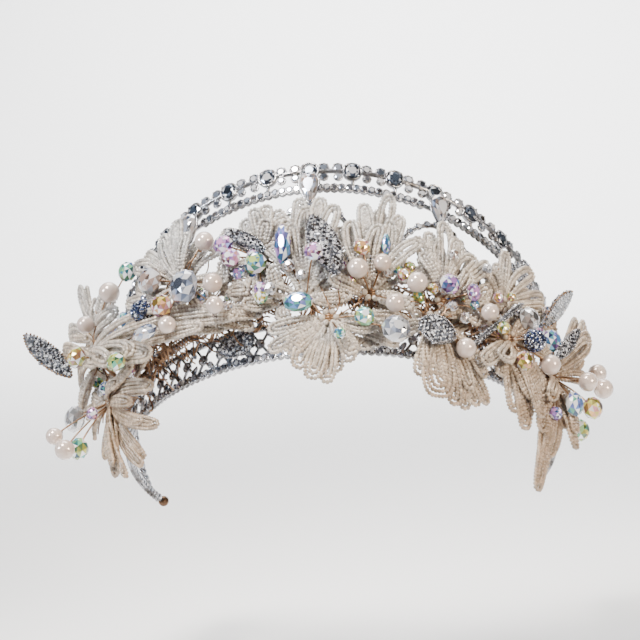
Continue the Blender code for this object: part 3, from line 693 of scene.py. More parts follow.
@dataclass
class SilverFrame:
    """The soldered frame: rails, gables, lattice, posts and all the stones that are set on it."""

    base_end: float = 112.0
    middle_end: float = 92.0
    gable_step: float = 31.3
    gable_half_width: float = 14.0
    gable_below_rail: float = 5.0
    stone_step: float = 10.42
    stones_each_side: int = 7
    stone_radius: float = 2.45
    chain_pitch: float = 2.15
    lattice_pitch: float = 11.0
    seed: int = 11

    def rail(self, mould: Mould, start: float, end: float, height, radius: float, stand_off: float = 0.0,
             points: int = 90) -> None:
        """A round wire along the wall at a height that follows a rule."""
        around = np.linspace(start, end, points)
        mould.add(*tube(WALL.spot(around, height(around), stand_off), radius, 10, WALL.axes(around)[:, 2]))

    def rod(self, mould: Mould, start: np.ndarray, end: np.ndarray, radius: float) -> None:
        """A short straight wire between two places."""
        path = np.linspace(start, end, 3)
        mould.add(*tube(path, radius, 8, np.array([0.31, 0.2, 0.93])))

    def gable_path(self, middle: float, points: int) -> tuple:
        """Angles and heights along a pointed arch: a sine across and a blunted cosine up."""
        rise = LINES.rail_height(middle) - self.gable_below_rail - LINES.middle
        turn = np.linspace(-np.pi / 2, np.pi / 2, points)
        height = LINES.middle + rise * np.maximum(np.cos(turn), 0) ** 0.8
        return middle + self.gable_half_width * np.sin(turn), height

    def build_wires(self, palette: Palette) -> None:
        """Rails, gables, lattice, posts, ties and ball ends in one piece."""
        mould = Mould("frame_wires")
        self.rail(mould, -self.base_end, self.base_end, level(LINES.base), 0.7)
        self.rail(mould, -self.middle_end, self.middle_end, level(LINES.middle), 0.8)
        self.rail(mould, -LINES.end, LINES.end, LINES.rail_height, 0.7)
        self.rail(mould, -LINES.meets, LINES.meets, LINES.top_height, 0.75)
        self.rail(mould, -LINES.garland_end, LINES.garland_end, LINES.garland_height, 0.75,
                  LINES.garland_stand_off)
        for k in range(-2, 3):
            around, height = self.gable_path(k * self.gable_step, 40)
            mould.add(*tube(WALL.spot(around, height), 0.75, 8, WALL.axes(around)[:, 2]))
        for k in range(-self.stones_each_side, self.stones_each_side + 1):
            around = k * self.stone_step
            foot, head = LINES.rail_height(around), LINES.top_height(around)
            self.rod(mould, WALL.spot(around, foot), WALL.spot(around, head), 0.55)
        for k in range(-4, 5):
            around = k * self.gable_step / 2
            tie = WALL.spot(around, LINES.garland_height(around), LINES.garland_stand_off)
            self.rod(mould, WALL.spot(around, LINES.middle), tie, 0.7)
        lattice_end = self.middle_end - 4
        turns = int(4 * lattice_end / self.lattice_pitch)
        for flip in (0, 1):
            places = [WALL.spot(-lattice_end + k * self.lattice_pitch / 2,
                                LINES.middle if (k + flip) % 2 else LINES.base) for k in range(turns + 1)]
            for start, end in zip(places, places[1:]):
                self.rod(mould, start, end, 0.42)
        turns = np.linspace(0, 150 * 2 * np.pi, 1500)
        around = np.linspace(-LINES.garland_end, LINES.garland_end, 1500)
        loose = 1.15 + 0.35 * np.sin(turns * 0.037)
        wrap = WALL.spot(around, LINES.garland_height(around) + loose * np.sin(turns),
                         LINES.garland_stand_off + loose * np.cos(turns))
        mould.add(*tube(wrap, 0.24, 5, WALL.axes(around)[:, 0]), 1)
        for side in (-1, 1):
            mould.add(*sphere(WALL.spot(side * self.base_end, LINES.base), 1.7, 20, 12), 1)
            self.rod(mould, WALL.spot(side * self.middle_end, LINES.base),
                     WALL.spot(side * self.middle_end, LINES.middle), 0.8)
        mould.cast([palette.silver, palette.copper], ("tiara_frame",))

    def chain(self, mould: Mould, around: np.ndarray, height: np.ndarray, stand_off: float, radius: float,
              rng: np.random.Generator, hue=0.4, inward: bool = False) -> None:
        """A row of cup-set stones along the wall, facing out, or in towards the head."""
        axes = WALL.axes(around)
        if inward:
            axes = axes * np.array([-1.0, 1.0, -1.0])[:, None]
        centres = WALL.spot(around, height, stand_off)
        radii = np.full(len(around), radius)
        set_stones(mould, CHATON, centres, axes, np.repeat(radii[:, None], 3, 1), hue, rng, 1, 0.3)
        set_cups(mould, centres, axes, radii, 0)

    def evenly(self, start: float, end: float, height, pitch: float) -> np.ndarray:
        """Angles of stones at an even pitch in mm along a rail: the inverse of its running length."""
        around = np.linspace(start, end, 800)
        path = WALL.spot(around, height(around)) / MM
        length = np.concatenate([[0.0], np.cumsum(np.linalg.norm(np.diff(path, axis=0), axis=1))])
        return np.interp(np.arange(pitch / 2, length[-1], pitch), length, around)

    def build_stones(self, palette: Palette) -> None:
        """All the stones of the frame: two cup chains, lattice, gables, scallops and the crest row."""
        rng = np.random.default_rng(self.seed)
        metals = [palette.silver, palette.rhinestone]
        crest_chain = Mould("crest_chain")
        around = self.evenly(-LINES.end, LINES.end, LINES.rail_height, self.chain_pitch)
        around = around[np.min(np.abs(around[:, None] - np.array([-1, 0, 1]) * self.gable_step), 1) > 2.2]
        # painted light: chain stones past 30 degrees towards the wearer's left, the warm lamp's side, are
        # pushed up the hue ramp to paler, warmer tones
        painted_warm_light = np.clip((around - 30) / 60, 0, 1) * 0.5
        self.chain(crest_chain, around, LINES.rail_height(around), 0.7, 1.12, rng,
                   0.2 + 0.25 * rng.random(len(around)) + painted_warm_light)
        self.chain(crest_chain, around, LINES.rail_height(around), -0.7, 1.05, rng, 0.3, True)
        crest_chain.cast(metals)

        base_chain = Mould("base_chain")
        around = self.evenly(-self.base_end + 2, self.base_end - 2, level(LINES.base), self.chain_pitch)
        self.chain(base_chain, around, LINES.base + 0 * around, 0.7, 1.1, rng,
                   0.05 + 0.35 * rng.random(len(around)))
        self.chain(base_chain, around, LINES.base + 0 * around, -0.7, 1.0, rng, 0.2, True)
        around = self.evenly(-self.middle_end, self.middle_end, level(LINES.middle), 2.2)
        self.chain(base_chain, around, LINES.middle + 0 * around, 0.75, 0.8, rng,
                   0.1 + 0.3 * rng.random(len(around)))
        base_chain.cast(metals)

        lattice = Mould("lattice_stones")
        middle = (LINES.middle + LINES.base) / 2
        around = np.arange(-80.0, 80.1, self.lattice_pitch / 2)
        self.chain(lattice, around, middle + 0 * around, 0.5, 1.35, rng, 0.6 + 0.3 * rng.random(len(around)))
        for lift in (-2.6, 2.6):
            between = around + self.lattice_pitch / 4
            slant = 35.0 * np.sign(lift) * np.where(np.arange(len(between)) % 2, 1, -1)
            axes = self.turned(WALL.axes(between), slant)
            sizes = np.broadcast_to(np.array([0.85, 1.9, 1.1]), (len(between), 3))
            centres = WALL.spot(between, middle + lift, 0.6)
            hues = 0.5 + 0.4 * rng.random(len(between))
            set_stones(lattice, CHATON, centres, axes, sizes, hues, rng, 1, 0.3)
        lattice.cast(metals)

        gables = Mould("gable_stones")
        for k in range(-2, 3):
            around, height = self.gable_path(k * self.gable_step, 19)
            self.chain(gables, around[1:-1], height[1:-1], 0.7, 1.0, rng, rng.random(17))
        gables.cast(metals)

        crest = Mould("crest_stones")
        around = np.arange(-self.stones_each_side, self.stones_each_side + 1) * self.stone_step
        radii = np.full(len(around), self.stone_radius)
        centres = WALL.spot(around, LINES.top_height(around), 0.4)
        set_stones(crest, BRILLIANT, centres, WALL.axes(around),
                   np.repeat(radii[:, None], 3, 1) * [1, 1, 0.8],
                   0.35 + 0.3 * rng.random(len(around)), rng, 1, 0.35)
        set_cups(crest, centres, WALL.axes(around), radii, 0, 14)
        crest.cast([palette.silver, palette.smoke])

        scallops = Mould("scallop_stones")
        around = np.concatenate([around[:-1] + self.stone_step * third for third in (1 / 3, 2 / 3)])
        top = LINES.top_height(around)
        self.chain(scallops, around, top + 0.9, 0.3, 1.45, rng, 0.3 + 0.5 * rng.random(len(around)))
        self.chain(scallops, around, top - 1.9, 0.4, 1.2, rng, rng.random(len(around)) * 0.8)
        scallops.cast(metals)

    @staticmethod
    def turned(axes: np.ndarray, degrees: np.ndarray) -> np.ndarray:
        """Turn each place's along and up vectors in the wall by its own angle."""
        c, s = np.cos(np.radians(degrees))[:, None], np.sin(np.radians(degrees))[:, None]
        along, up, out = axes[:, 0], axes[:, 1], axes[:, 2]
        return np.stack([along * c - up * s, along * s + up * c, out], 1)

    def build(self, palette: Palette) -> None:
        """Build the frame's pieces."""
        self.build_wires(palette)
        self.build_stones(palette)


@dataclass(frozen=True)
class Petal:
    """One loop of bead strands, by its tip, width and lift."""

    around: float
    height: float
    stand_off: float
    width: float
    puff: float
    bow: float


@dataclass(frozen=True)
class Flower:
    """A hub on a stem with its petals."""

    around: float
    height: float
    stand_off: float
    petals: tuple


@dataclass(frozen=True)
class Stone:
    """A bead or stone by its place, size, colour value and the flower that it is wired to."""

    around: float
    height: float
    stand_off: float
    width: float
    length: float
    hue: float
    flower: str
    clear: bool = False


PLANS = {
    "flower_left_drop": (-57, 3, 10, ((-51, -24, 13, 7.5, 1, 0), (-45, -23, 9, 5.0, 1, 2),
        (-37, -15, 11, 5.5, 2, 2), (-39, -2, 10, 5.5, 2, -1))),
    "flower_left_sweep": (-58, 17, 14, ((-10.5, 10, 9, 7.0, 0, -2), (-13, 7, 7, 6.0, 1, -4),
        (-34, 3, 17, 8.0, 1, 0), (-68, 26, 20, 7.0, 1, 0))),
    "flower_left_rear": (-65, 28, 10, ((-69, 49, 12, 6.5, 1, 0), (-60, 43, 9, 6.0, 1, 0),
        (-73, 37, 17, 7.0, 1, 0))),
    "flower_left_high": (-29, 25, 10, ((-40, 40, 10, 6.5, 2, 0), (-35, 45, 7, 6.0, 1, 0),
        (-30, 46, 10, 6.5, 2, 0), (-24, 40, 7, 6.0, 1, 0))),
    "flower_mid_left_high": (-11, 28, 6, ((-15, 42, 6, 6.5, 1, 0), (-9, 44, 8, 6.5, 1, 0))),
    "flower_centre_high": (-1, 13, 8, ((-5, 38, 9, 6.5, 2, 0), (-2, 46, 6, 7.0, 1, 0), (3, 44, 9, 6.5, 2, 0),
        (8, 36, 6, 6.5, 1, 0), (9, 12, 12, 5.5, 1, 1))),
    "flower_right_high": (13, 14, 8, ((12, 42, 9, 6.5, 2, 0), (16, 42, 6, 6.5, 1, 0), (20, 39, 9, 6.5, 2, 0),
        (20, 10, 11, 7.0, 1, 0))),
    "flower_right_fan": (29, 14, 8, ((23, 33, 9, 6.0, 2, 0), (27, 37, 6, 6.5, 1, 0), (33, 35, 9, 6.5, 2, 0),
        (37, 33, 6, 6.0, 1, 0), (41, 30, 9, 5.5, 2, 0))),
    "flower_shoulder": (45, 19, 7, ((44, 32, 8, 6.0, 1, 0), (50, 33, 6, 6.5, 1, 0), (60, 29, 8, 6.0, 1, 0))),
    "flower_centre_drop": (4, 5, 11, ((0, -14, 14, 7.5, 2, 0), (5, -11, 11, 7.0, 1, 0),
        (-5, -5, 13, 7.5, 1, 0), (9, -7, 14, 6.5, 1, 0), (19, -1, 9, 5.5, 0, 0))),
    "flower_right_drop": (25, 5, 13, ((26, -18, 14, 12.5, 2, 0), (27, -14, 14, 6.5, 2, 0),
        (33, -19, 12, 6.5, 1, 0), (40, -14, 9, 6.0, 1, 0))),
    "flower_far_right_drop": (43, 5, 13, ((47, -21, 14, 7.5, 2, 0), (35, -6, 16, 6.5, 1, 0),
        (49, -18, 18, 5.5, 1, 0))),
    "flower_right_end": (56, 0, 13, ((51, -37, 13, 6.0, 1, 0), (60, -22, 18, 5.5, 1, 0),
        (67, 18, 18, 8.0, 1, 0), (67, 24, 14, 7.0, 1, 0))),
}
FLOWERS = {name: Flower(*hub, tuple(Petal(*row) for row in rows)) for name, (*hub, rows) in PLANS.items()}


FILLERS = {
    "flower_left_drop": ((-66, 3, 14, 5), (-63, 9, 13, 5), (-47, 3, 14, 5), (-43, 6, 13, 5),
        (-52, -14, 13, 4), (-50, -22, 15, 4), (-66, -4, 12, 4), (-43, -6, 14, 5), (-48, -26, 12, 4)),
    "flower_left_sweep": ((-20, 12, 12, 7), (-15, 9, 12, 6), (-22, 7, 15, 6), (-30, 14, 16, 7),
        (-45, 6, 19, 7), (-69, 15, 14, 7), (-71, 7, 14, 7), (-50, 10, 18, 7), (-38, 6, 18, 7),
        (-66, 5, 16, 6)),
    "flower_left_rear": ((-73, 30, 12, 6), (-56, 40, 10, 7), (-52, 35, 10, 7), (-50, 28, 11, 7),
        (-66, 43, 10, 7), (-58, 18, 12, 7)),
    "flower_left_high": ((-45, 33, 9, 7), (-43, 37, 12, 7), (-20, 33, 8, 7), (-18, 23, 9, 6),
        (-38, 17, 13, 7), (-24, 12, 12, 7), (-41, 25, 11, 7), (-33, 42, 12, 6), (-46, 27, 12, 6),
        (-27, 40, 11, 6)),
    "flower_mid_left_high": ((-20, 38, 8, 6), (-4, 39, 8, 6), (-6, 17, 9, 6), (-17, 15, 10, 7),
        (-12, 43, 9, 6), (-19, 25, 8, 7), (-12, 12, 10, 6)),
    "flower_centre_high": ((-9, 30, 10, 7), (-7, 42, 8, 7), (0, 41, 10, 7), (6, 41, 10, 7), (-12, 20, 8, 7),
        (10, 26, 10, 7), (-3, 34, 14, 6), (5, 32, 8, 7)),
    "flower_right_high": ((9, 36, 10, 7), (18, 46, 8, 7), (24, 31, 10, 6), (22, 21, 10, 6), (6, 24, 10, 7),
        (15, 34, 12, 6), (4, 18, 12, 6)),
    "flower_right_fan": ((24, 27, 10, 7), (30, 40, 8, 7), (37, 30, 10, 7), (41, 22, 10, 7), (21, 22, 10, 6),
        (37, 8, 12, 6), (45, 18, 9, 6), (34, 24, 12, 6)),
    "flower_shoulder": ((40, 28, 9, 7), (47, 37, 8, 6), (55, 34, 9, 7), (58, 24, 10, 6), (52, 12, 12, 6),
        (63, 22, 10, 6), (38, 18, 10, 6)),
    "flower_centre_drop": ((-3, -10, 13, 7), (3, -15, 13, 6), (8, -9, 13, 6), (-9, 3, 12, 6), (14, 3, 12, 6),
        (21, 5, 11, 6), (-9, -3, 12, 6)),
    "flower_right_drop": ((22, -12, 13, 7), (30, -19, 13, 7), (36, -17, 12, 6), (19, 1, 13, 6),
        (34, -4, 13, 6), (38, -8, 12, 6)),
    "flower_far_right_drop": ((40, -7, 14, 6), (44, -17, 14, 7), (51, -10, 16, 6), (38, 9, 12, 6),
        (50, 13, 13, 6), (47, -13, 17, 6), (54, 4, 16, 6)),
    "flower_right_end": ((51, -20, 15, 6), (54, -26, 14, 6), (58, -16, 16, 6), (63, -11, 15, 6),
        (65, 11, 17, 7), (60, 12, 17, 7), (52, -11, 17, 6), (66, 3, 17, 6), (50, 6, 16, 6), (53, -33, 12, 5)),
}


@dataclass
class BeadFlower:
    """One flower of seed-bead loops with its hub, stem and wires."""

    name: str
    plan: Flower
    bead_radius: float = 0.66
    bead_pitch: float = 1.02
    sides: int = 6
    layers: int = 1
    strand: float = 1.32
    tangle: int = 16
    narrow: float = 0.45
    spread: float = 1.05
    start: float = 1.45
    seed: int = 3

    def loop(self, petal: Petal, level: float, inset: float, points: int = 400) -> np.ndarray:
        """The middle line of one strand.

        Along a straight line from hub to tip the loop swings out and back as a blunt sine, narrow at
        the hub; a parabola lifts its middle by puff and bends it sideways by bow.

        Args:
            petal: the petal's plan.
            level: mm that the petal starts in front of the hub's middle.
            inset: mm that the strand lies inside the petal's outer edge.
            points: how many points to give.

        Returns:
            (points, 3) places in metres.
        """
        hub = np.array([self.plan.around * MM_PER_DEGREE, self.plan.height, self.plan.stand_off + level])
        tip = np.array([petal.around * MM_PER_DEGREE, petal.height, petal.stand_off], float)
        hub = hub + (tip - hub) * self.start / np.linalg.norm(tip - hub)
        reach = np.linalg.norm(tip - hub)
        ahead = (tip - hub) / np.linalg.norm((tip - hub)[:2])
        side, out = np.array([ahead[1], -ahead[0], 0.0]), np.array([0.0, 0.0, 1.0])
        turn = even_turns(points)
        bump = np.sign(np.sin(turn)) * np.abs(np.sin(turn)) ** 0.6
        along = inset / reach + (1 - 2 * inset / reach) * (1 - np.cos(turn)) / 2
        half = max(petal.width / 2 - inset, 0.35)
        hump = 4 * along * (1 - along)
        middle = hub + np.outer(along, tip - hub) + np.outer(hump, side * petal.bow + out * petal.puff)
        flat = middle + np.outer(half * bump * (self.narrow + (1 - self.narrow) * along), side)
        return WALL.spot(flat[:, 0] / MM_PER_DEGREE, flat[:, 1], flat[:, 2])

    def string(self, mould: Mould, loop: np.ndarray, out: np.ndarray, rng: np.random.Generator) -> None:
        """Thread beads on a closed path: three rings a bead, whose radius dips where two beads meet."""
        closed = np.concatenate([loop, loop[:1]])
        length = np.concatenate([[0.0], np.cumsum(np.linalg.norm(np.diff(closed, axis=0), axis=1))]) / MM
        beads = max(int(round(length[-1] / self.bead_pitch)), 6)
        shape = np.array([(0.0, 0.42), (0.26, 1.0), (0.74, 1.0)])
        where = (np.arange(beads)[:, None] + shape[None, :, 0]).ravel() / beads * length[-1]
        path = np.stack([np.interp(where, length, closed[:, k]) for k in range(3)], -1)
        size = rng.uniform(0.93, 1.04, beads)[:, None] * shape[None, :, 1] * self.bead_radius
        points, faces = tube(path, size.ravel(), self.sides, out, loop=True)
        own = np.repeat(rng.random(beads), 3 * self.sides)
        mould.add(points, faces, 0, True, 0.5, np.concatenate([own, own]))

    def petals(self, rng: np.random.Generator) -> list:
        """Layers of shorter petals that stray a little from the plan's own, in front and behind."""
        extra = [Petal(around, height, stand_off, width, rng.uniform(0, 2.5), rng.uniform(-1.8, 1.8))
                 for around, height, stand_off, width in FILLERS[self.name]]
        for petal in self.plan.petals * self.layers:
            share = rng.uniform(0.70, 0.93)
            tip = np.array([petal.around, petal.height]) + rng.uniform(-1, 1, 2) * (3.2, 2.5)
            around, height = np.array([self.plan.around, self.plan.height]) * (1 - share) + tip * share
            stand_off = petal.stand_off + rng.uniform(-3.5, 2.5)
            extra.append(Petal(around, height, stand_off, petal.width * rng.uniform(0.8, 1.15),
                               rng.uniform(0, 2.5), petal.bow * 0.7 + rng.uniform(-1.5, 1.5)))
        return extra

    def build(self, palette: Palette, stones: list) -> None:
        """Build the flower: strands, hub, stem and bead wires."""
        rng = np.random.default_rng(self.seed)
        mould = Mould(self.name + "_beadwork")
        extra = self.petals(rng)
        petals = [*self.plan.petals, *extra]
        levels = np.concatenate([np.linspace(-self.spread, self.spread, len(self.plan.petals)),
                                 rng.uniform(-1.6, 1.6, len(extra))])
        for petal, level in zip(petals, levels):
            out = WALL.axes((petal.around + self.plan.around) / 2)[2]
            strands = 3 if petal.width > 6.2 and petal in self.plan.petals else 2
            for k in range(strands):
                self.string(mould, self.loop(petal, level, (k + 0.5) * self.strand), out, rng)
        self.hub_and_wires(mould, stones, rng)
        mould.cast([palette.beads, palette.copper, palette.silver, palette.rainbow], (self.name,))

    def hub_and_wires(self, mould: Mould, stones: list, rng: np.random.Generator) -> None:
        """The wrapped hub, its beads, the stem to the garland wire and a bowed wire to each stone."""
        plan = self.plan
        hub = WALL.spot(plan.around, plan.height, plan.stand_off)
        axes = WALL.axes(plan.around)
        turn = np.linspace(0, 6 * 2 * np.pi, 90)
        fall = np.linspace(0.5, np.pi - 0.5, 90)
        wrap = np.stack([np.sin(fall) * np.cos(turn), np.cos(fall), np.sin(fall) * np.sin(turn)], -1) * 1.9
        mould.add(*tube(hub + wrap @ axes * MM, 0.3, 6, axes[1] + 0.01), 1)
        mould.add(*sphere(hub, 1.75, 14, 8), 1)
        for angle in even_turns(6):
            place = hub + (axes[0] * np.cos(angle) + axes[1] * np.sin(angle)) * 1.9 * MM + axes[2] * 1.5 * MM
            mould.add(*sphere(place, 0.95, 10, 6), 0, True, 0.5, rng.random())
        for turn in rng.uniform(0, 2 * np.pi, self.tangle):
            reach = rng.uniform(4.0, 11.0)
            end = hub + (axes.T @ [np.cos(turn), np.sin(turn), rng.uniform(-0.4, 0.3)]) * reach * MM
            mould.add(*tube(self.bowed(hub, end, axes.T @ rng.uniform(-1, 1, 3), rng.uniform(1, 3)), 0.22, 5,
                            axes[2] + 0.1), 1)
        foot = WALL.spot(plan.around, LINES.garland_height(plan.around), LINES.garland_stand_off)
        mould.add(*tube(self.bowed(foot, hub, axes[2], 0.0), 0.7, 8, axes[0]), 1)
        for stone in stones:
            if stone.flower != self.name:
                continue
            end = WALL.spot(stone.around, stone.height, stone.stand_off)
            mould.add(*tube(self.bowed(hub, end, axes[2], 1.0), 0.26, 6, axes[0] + 0.3 * axes[1]), 1)

    @staticmethod
    def bowed(start: np.ndarray, end: np.ndarray, towards: np.ndarray, rise: float) -> np.ndarray:
        """A path from start to end that a parabola lifts towards a direction."""
        share = np.linspace(0, 1, 12)[:, None]
        return start + (end - start) * share + towards * 4 * share * (1 - share) * rise * MM


PEARL_ROWS = {
    "pearl_1": (-49, 32, 15, 3.1, "flower_left_rear"),
    "pearl_2": (-22, 34, 13, 2.8, "flower_left_high"),
    "pearl_3": (-19.5, 19, 15.5, 2.8, "flower_left_high"),
    "pearl_4": (-18.5, 11, 17.5, 2.5, "flower_left_high"),
    "pearl_5": (-29.2, 9.2, 18.2, 2.5, "flower_left_high"),
    "pearl_6": (-60, 29, 16, 2.6, "flower_left_rear"),
    "pearl_7": (-56, -12, 29, 2.5, "flower_left_drop"),
    "pearl_8": (-53, -18, 28, 2.9, "flower_left_drop"),
    "pearl_9": (10, 19, 14, 2.9, "flower_right_high"),
    "pearl_10": (15, 21, 14, 2.5, "flower_right_high"),
    "pearl_11": (22, 16, 14, 2.9, "flower_right_fan"),
    "pearl_12": (17, 8, 16, 2.6, "flower_right_high"),
    "pearl_13": (31, -3.2, 17.2, 2.8, "flower_right_drop"),
    "pearl_14": (37.5, 10.5, 15.5, 2.5, "flower_right_fan"),
    "pearl_15": (51, -1, 19, 2.9, "flower_far_right_drop"),
    "pearl_16": (61, -1.5, 21.5, 2.8, "flower_right_end"),
    "pearl_17": (71, 8.5, 18, 2.8, "flower_right_end"),
    "pearl_18": (67, 0, 22, 2.9, "flower_right_end"),
}
PEARLS = {name: Stone(around, height, stand_off, radius, radius, 0.0, flower)
          for name, (around, height, stand_off, radius, flower) in PEARL_ROWS.items()}

CRYSTALS = {
    "crystal_1": Stone(-44, 36, 13, 6.1, 6.1, 0.70, "flower_left_rear"),
    "crystal_2": Stone(-30, 15, 19, 6.7, 6.7, 0.30, "flower_left_high"),
    "crystal_3": Stone(-57.5, 15.5, 20.5, 8.0, 6.2, 0.40, "flower_left_sweep"),
    "crystal_4": Stone(-41, 3, 21.5, 7.0, 5.6, 0.55, "flower_left_sweep"),
    "crystal_5": Stone(-58, -13, 20.5, 6.7, 6.7, 0.62, "flower_left_drop"),
    "crystal_6": Stone(-63, 0, 19, 9.0, 8.0, 0.5, "flower_left_drop", True),
    "crystal_7": Stone(-11, 24, 12, 6.7, 6.7, 0.68, "flower_mid_left_high"),
    "crystal_8": Stone(-2, 9, 15, 8.5, 6.0, 0.80, "flower_centre_drop"),
    "crystal_9": Stone(-25.5, 19.5, 17, 9.5, 11.0, 0.2, "flower_left_high", True),
    "crystal_10": Stone(-36, 28, 14, 8.2, 8.2, 0.9, "flower_left_high", True),
    "crystal_11": Stone(17, 0, 16.5, 8.4, 8.4, 0.3, "flower_centre_drop", True),
    "crystal_12": Stone(48, 13, 15, 7.3, 7.3, 0.6, "flower_shoulder", True),
    "crystal_13": Stone(-33.5, 8, 20.5, 9.5, 4.8, 0.0, "flower_left_sweep", True),
    "crystal_14": Stone(63.5, -13.5, 16.5, 6.7, 6.7, 0.55, "flower_right_end"),
    "crystal_15": Stone(64, -7.5, 20.5, 6.7, 6.7, 0.35, "flower_right_end"),
}

SMALL_STONES = (
    Stone(-17, 30, 15, 6.0, 6.0, 0.02, "flower_mid_left_high"),
    Stone(-15.5, 25.5, 15, 5.6, 5.6, 0.12, "flower_mid_left_high"),
    Stone(-5, 28, 13, 5.0, 13.0, 0.9, "flower_centre_high"),
    Stone(1.5, 22, 18.5, 5.5, 5.5, 0.10, "flower_centre_high"),
    Stone(11, 26, 13, 5.0, 5.0, 0.33, "flower_right_high"),
    Stone(11, 4, 15, 5.8, 5.8, 0.66, "flower_centre_drop"),
    Stone(29, 17, 14, 6.2, 6.2, 0.95, "flower_right_fan"),
    Stone(34, 15.5, 15, 4.3, 5.5, 0.05, "flower_right_fan"),
    Stone(45, -2, 17, 5.8, 5.8, 0.35, "flower_far_right_drop"),
    Stone(54, 9, 16, 6.7, 6.7, 0.85, "flower_right_end"),
    Stone(58, -9.5, 19.5, 6.0, 7.5, 0.8, "flower_right_end"),
    Stone(-10, 16, 12, 4.3, 4.3, 0.05, "flower_mid_left_high"),
    Stone(16, 28, 12, 3.0, 7.0, 0.8, "flower_right_high"),
    Stone(54.5, -13.2, 16.5, 4.3, 4.3, 0.95, "flower_right_end"),
    Stone(6, -2, 17, 3.6, 3.6, 0.7, "flower_centre_drop"),
    Stone(-53, -5, 19, 4.0, 4.0, 0.1, "flower_left_drop"),
    Stone(40, 6, 17, 4.0, 4.0, 0.5, "flower_far_right_drop"),
    Stone(-46, 22, 13, 4.5, 4.5, 0.75, "flower_left_rear"),
)

PAVE_BALLS = {
    "pave_ball_left": Stone(-36.5, 17.5, 17, 3.4, 3.4, 0.3, "flower_left_high"),
    "pave_ball_right": Stone(47, 4.5, 18.5, 3.4, 3.4, 0.3, "flower_far_right_drop"),
}


@dataclass
class BeadSet:
    """Pearls, crystals and pave balls; the flowers' own builds wire all but the scattered crystals to a
    flower.
    """

    pave_stones: int = 60
    scattered: int = 80
    seed: int = 29

    def build_pearls(self, palette: Palette) -> None:
        """Round pearls with a small metal cap at the wire."""
        for name, pearl in PEARLS.items():
            mould = Mould(name + "_round")
            centre = WALL.spot(pearl.around, pearl.height, pearl.stand_off)
            mould.add(*sphere(centre, pearl.width, 36, 20))
            hub = FLOWERS[pearl.flower]
            back = WALL.spot(hub.around, hub.height, hub.stand_off) - centre
            back /= np.linalg.norm(back)
            mould.add(*sphere(centre + back * pearl.width * MM, 0.7, 12, 7), 1)
            mould.cast([palette.pearl, palette.copper], (name,))

    def build_crystals(self, palette: Palette) -> None:
        """Faceted crystals, rainbow-coated or clear."""
        rng = np.random.default_rng(self.seed)
        for name, stone in CRYSTALS.items():
            mould = Mould(name + "_cut")
            self.set_crystal(mould, stone, rng, 0, 0.16)
            mould.cast([palette.clear if stone.clear else palette.rainbow], (name,))
        mould = Mould("small_crystals")
        for stone in SMALL_STONES:
            self.set_crystal(mould, stone, rng, 0, 0.14)
        mould.cast([palette.rainbow])
        mould = Mould("scattered_crystals")
        for around in np.linspace(-64, 64, self.scattered) + rng.uniform(-2, 2, self.scattered):
            height = LINES.garland_height(around) + rng.uniform(-4, 14)
            width = rng.uniform(2.8, 4.4)
            stone = Stone(around, height, rng.uniform(8, 14), width, width, rng.random(), "")
            self.set_crystal(mould, stone, rng, int(rng.random() < 0.55), 0.2)
        mould.cast([palette.rainbow, palette.clear])

    @staticmethod
    def set_crystal(mould: Mould, stone: Stone, rng: np.random.Generator, slot: int, spread: float) -> None:
        """One faceted bead at its place, no deeper than it is wide."""
        centre = WALL.spot(stone.around, stone.height, stone.stand_off)[None]
        depth = min(stone.width, stone.length, 7.0) / 2
        sizes = np.array([[stone.width / 2, stone.length / 2, depth]])
        axes = WALL.axes(stone.around)[None]
        set_stones(mould, RONDELLE, centre, axes, sizes, stone.hue, rng, slot, spread)

    def build_balls(self, palette: Palette) -> None:
        """Dark balls covered in stones: a golden-angle spiral of cup-less stones on a sphere."""
        rng = np.random.default_rng(self.seed + 1)
        for name, ball in PAVE_BALLS.items():
            mould = Mould(name + "_stones")
            centre = WALL.spot(ball.around, ball.height, ball.stand_off)
            mould.add(*sphere(centre, ball.width - 0.45, 24, 14), 1)
            k = np.arange(self.pave_stones) + 0.5
            fall, turn = np.arccos(1 - 2 * k / self.pave_stones), k * np.pi * (1 + 5 ** 0.5)
            out = np.stack([np.sin(fall) * np.cos(turn), np.sin(fall) * np.sin(turn), np.cos(fall)], -1)
            along = np.cross(out, [0.21, 0.35, 0.91])
            along /= np.linalg.norm(along, axis=1, keepdims=True)
            axes = np.stack([along, np.cross(out, along), out], 1)
            sizes = np.full((self.pave_stones, 3), 0.72)
            set_stones(mould, CHATON, centre + out * (ball.width - 0.35) * MM, axes, sizes,
                       rng.random(self.pave_stones), rng, 0, 0.3)
            mould.cast([palette.navy, palette.gunmetal], (name,))

    def build(self, palette: Palette) -> None:
        """Build all beads."""
        self.build_pearls(palette)
        self.build_crystals(palette)
        self.build_balls(palette)


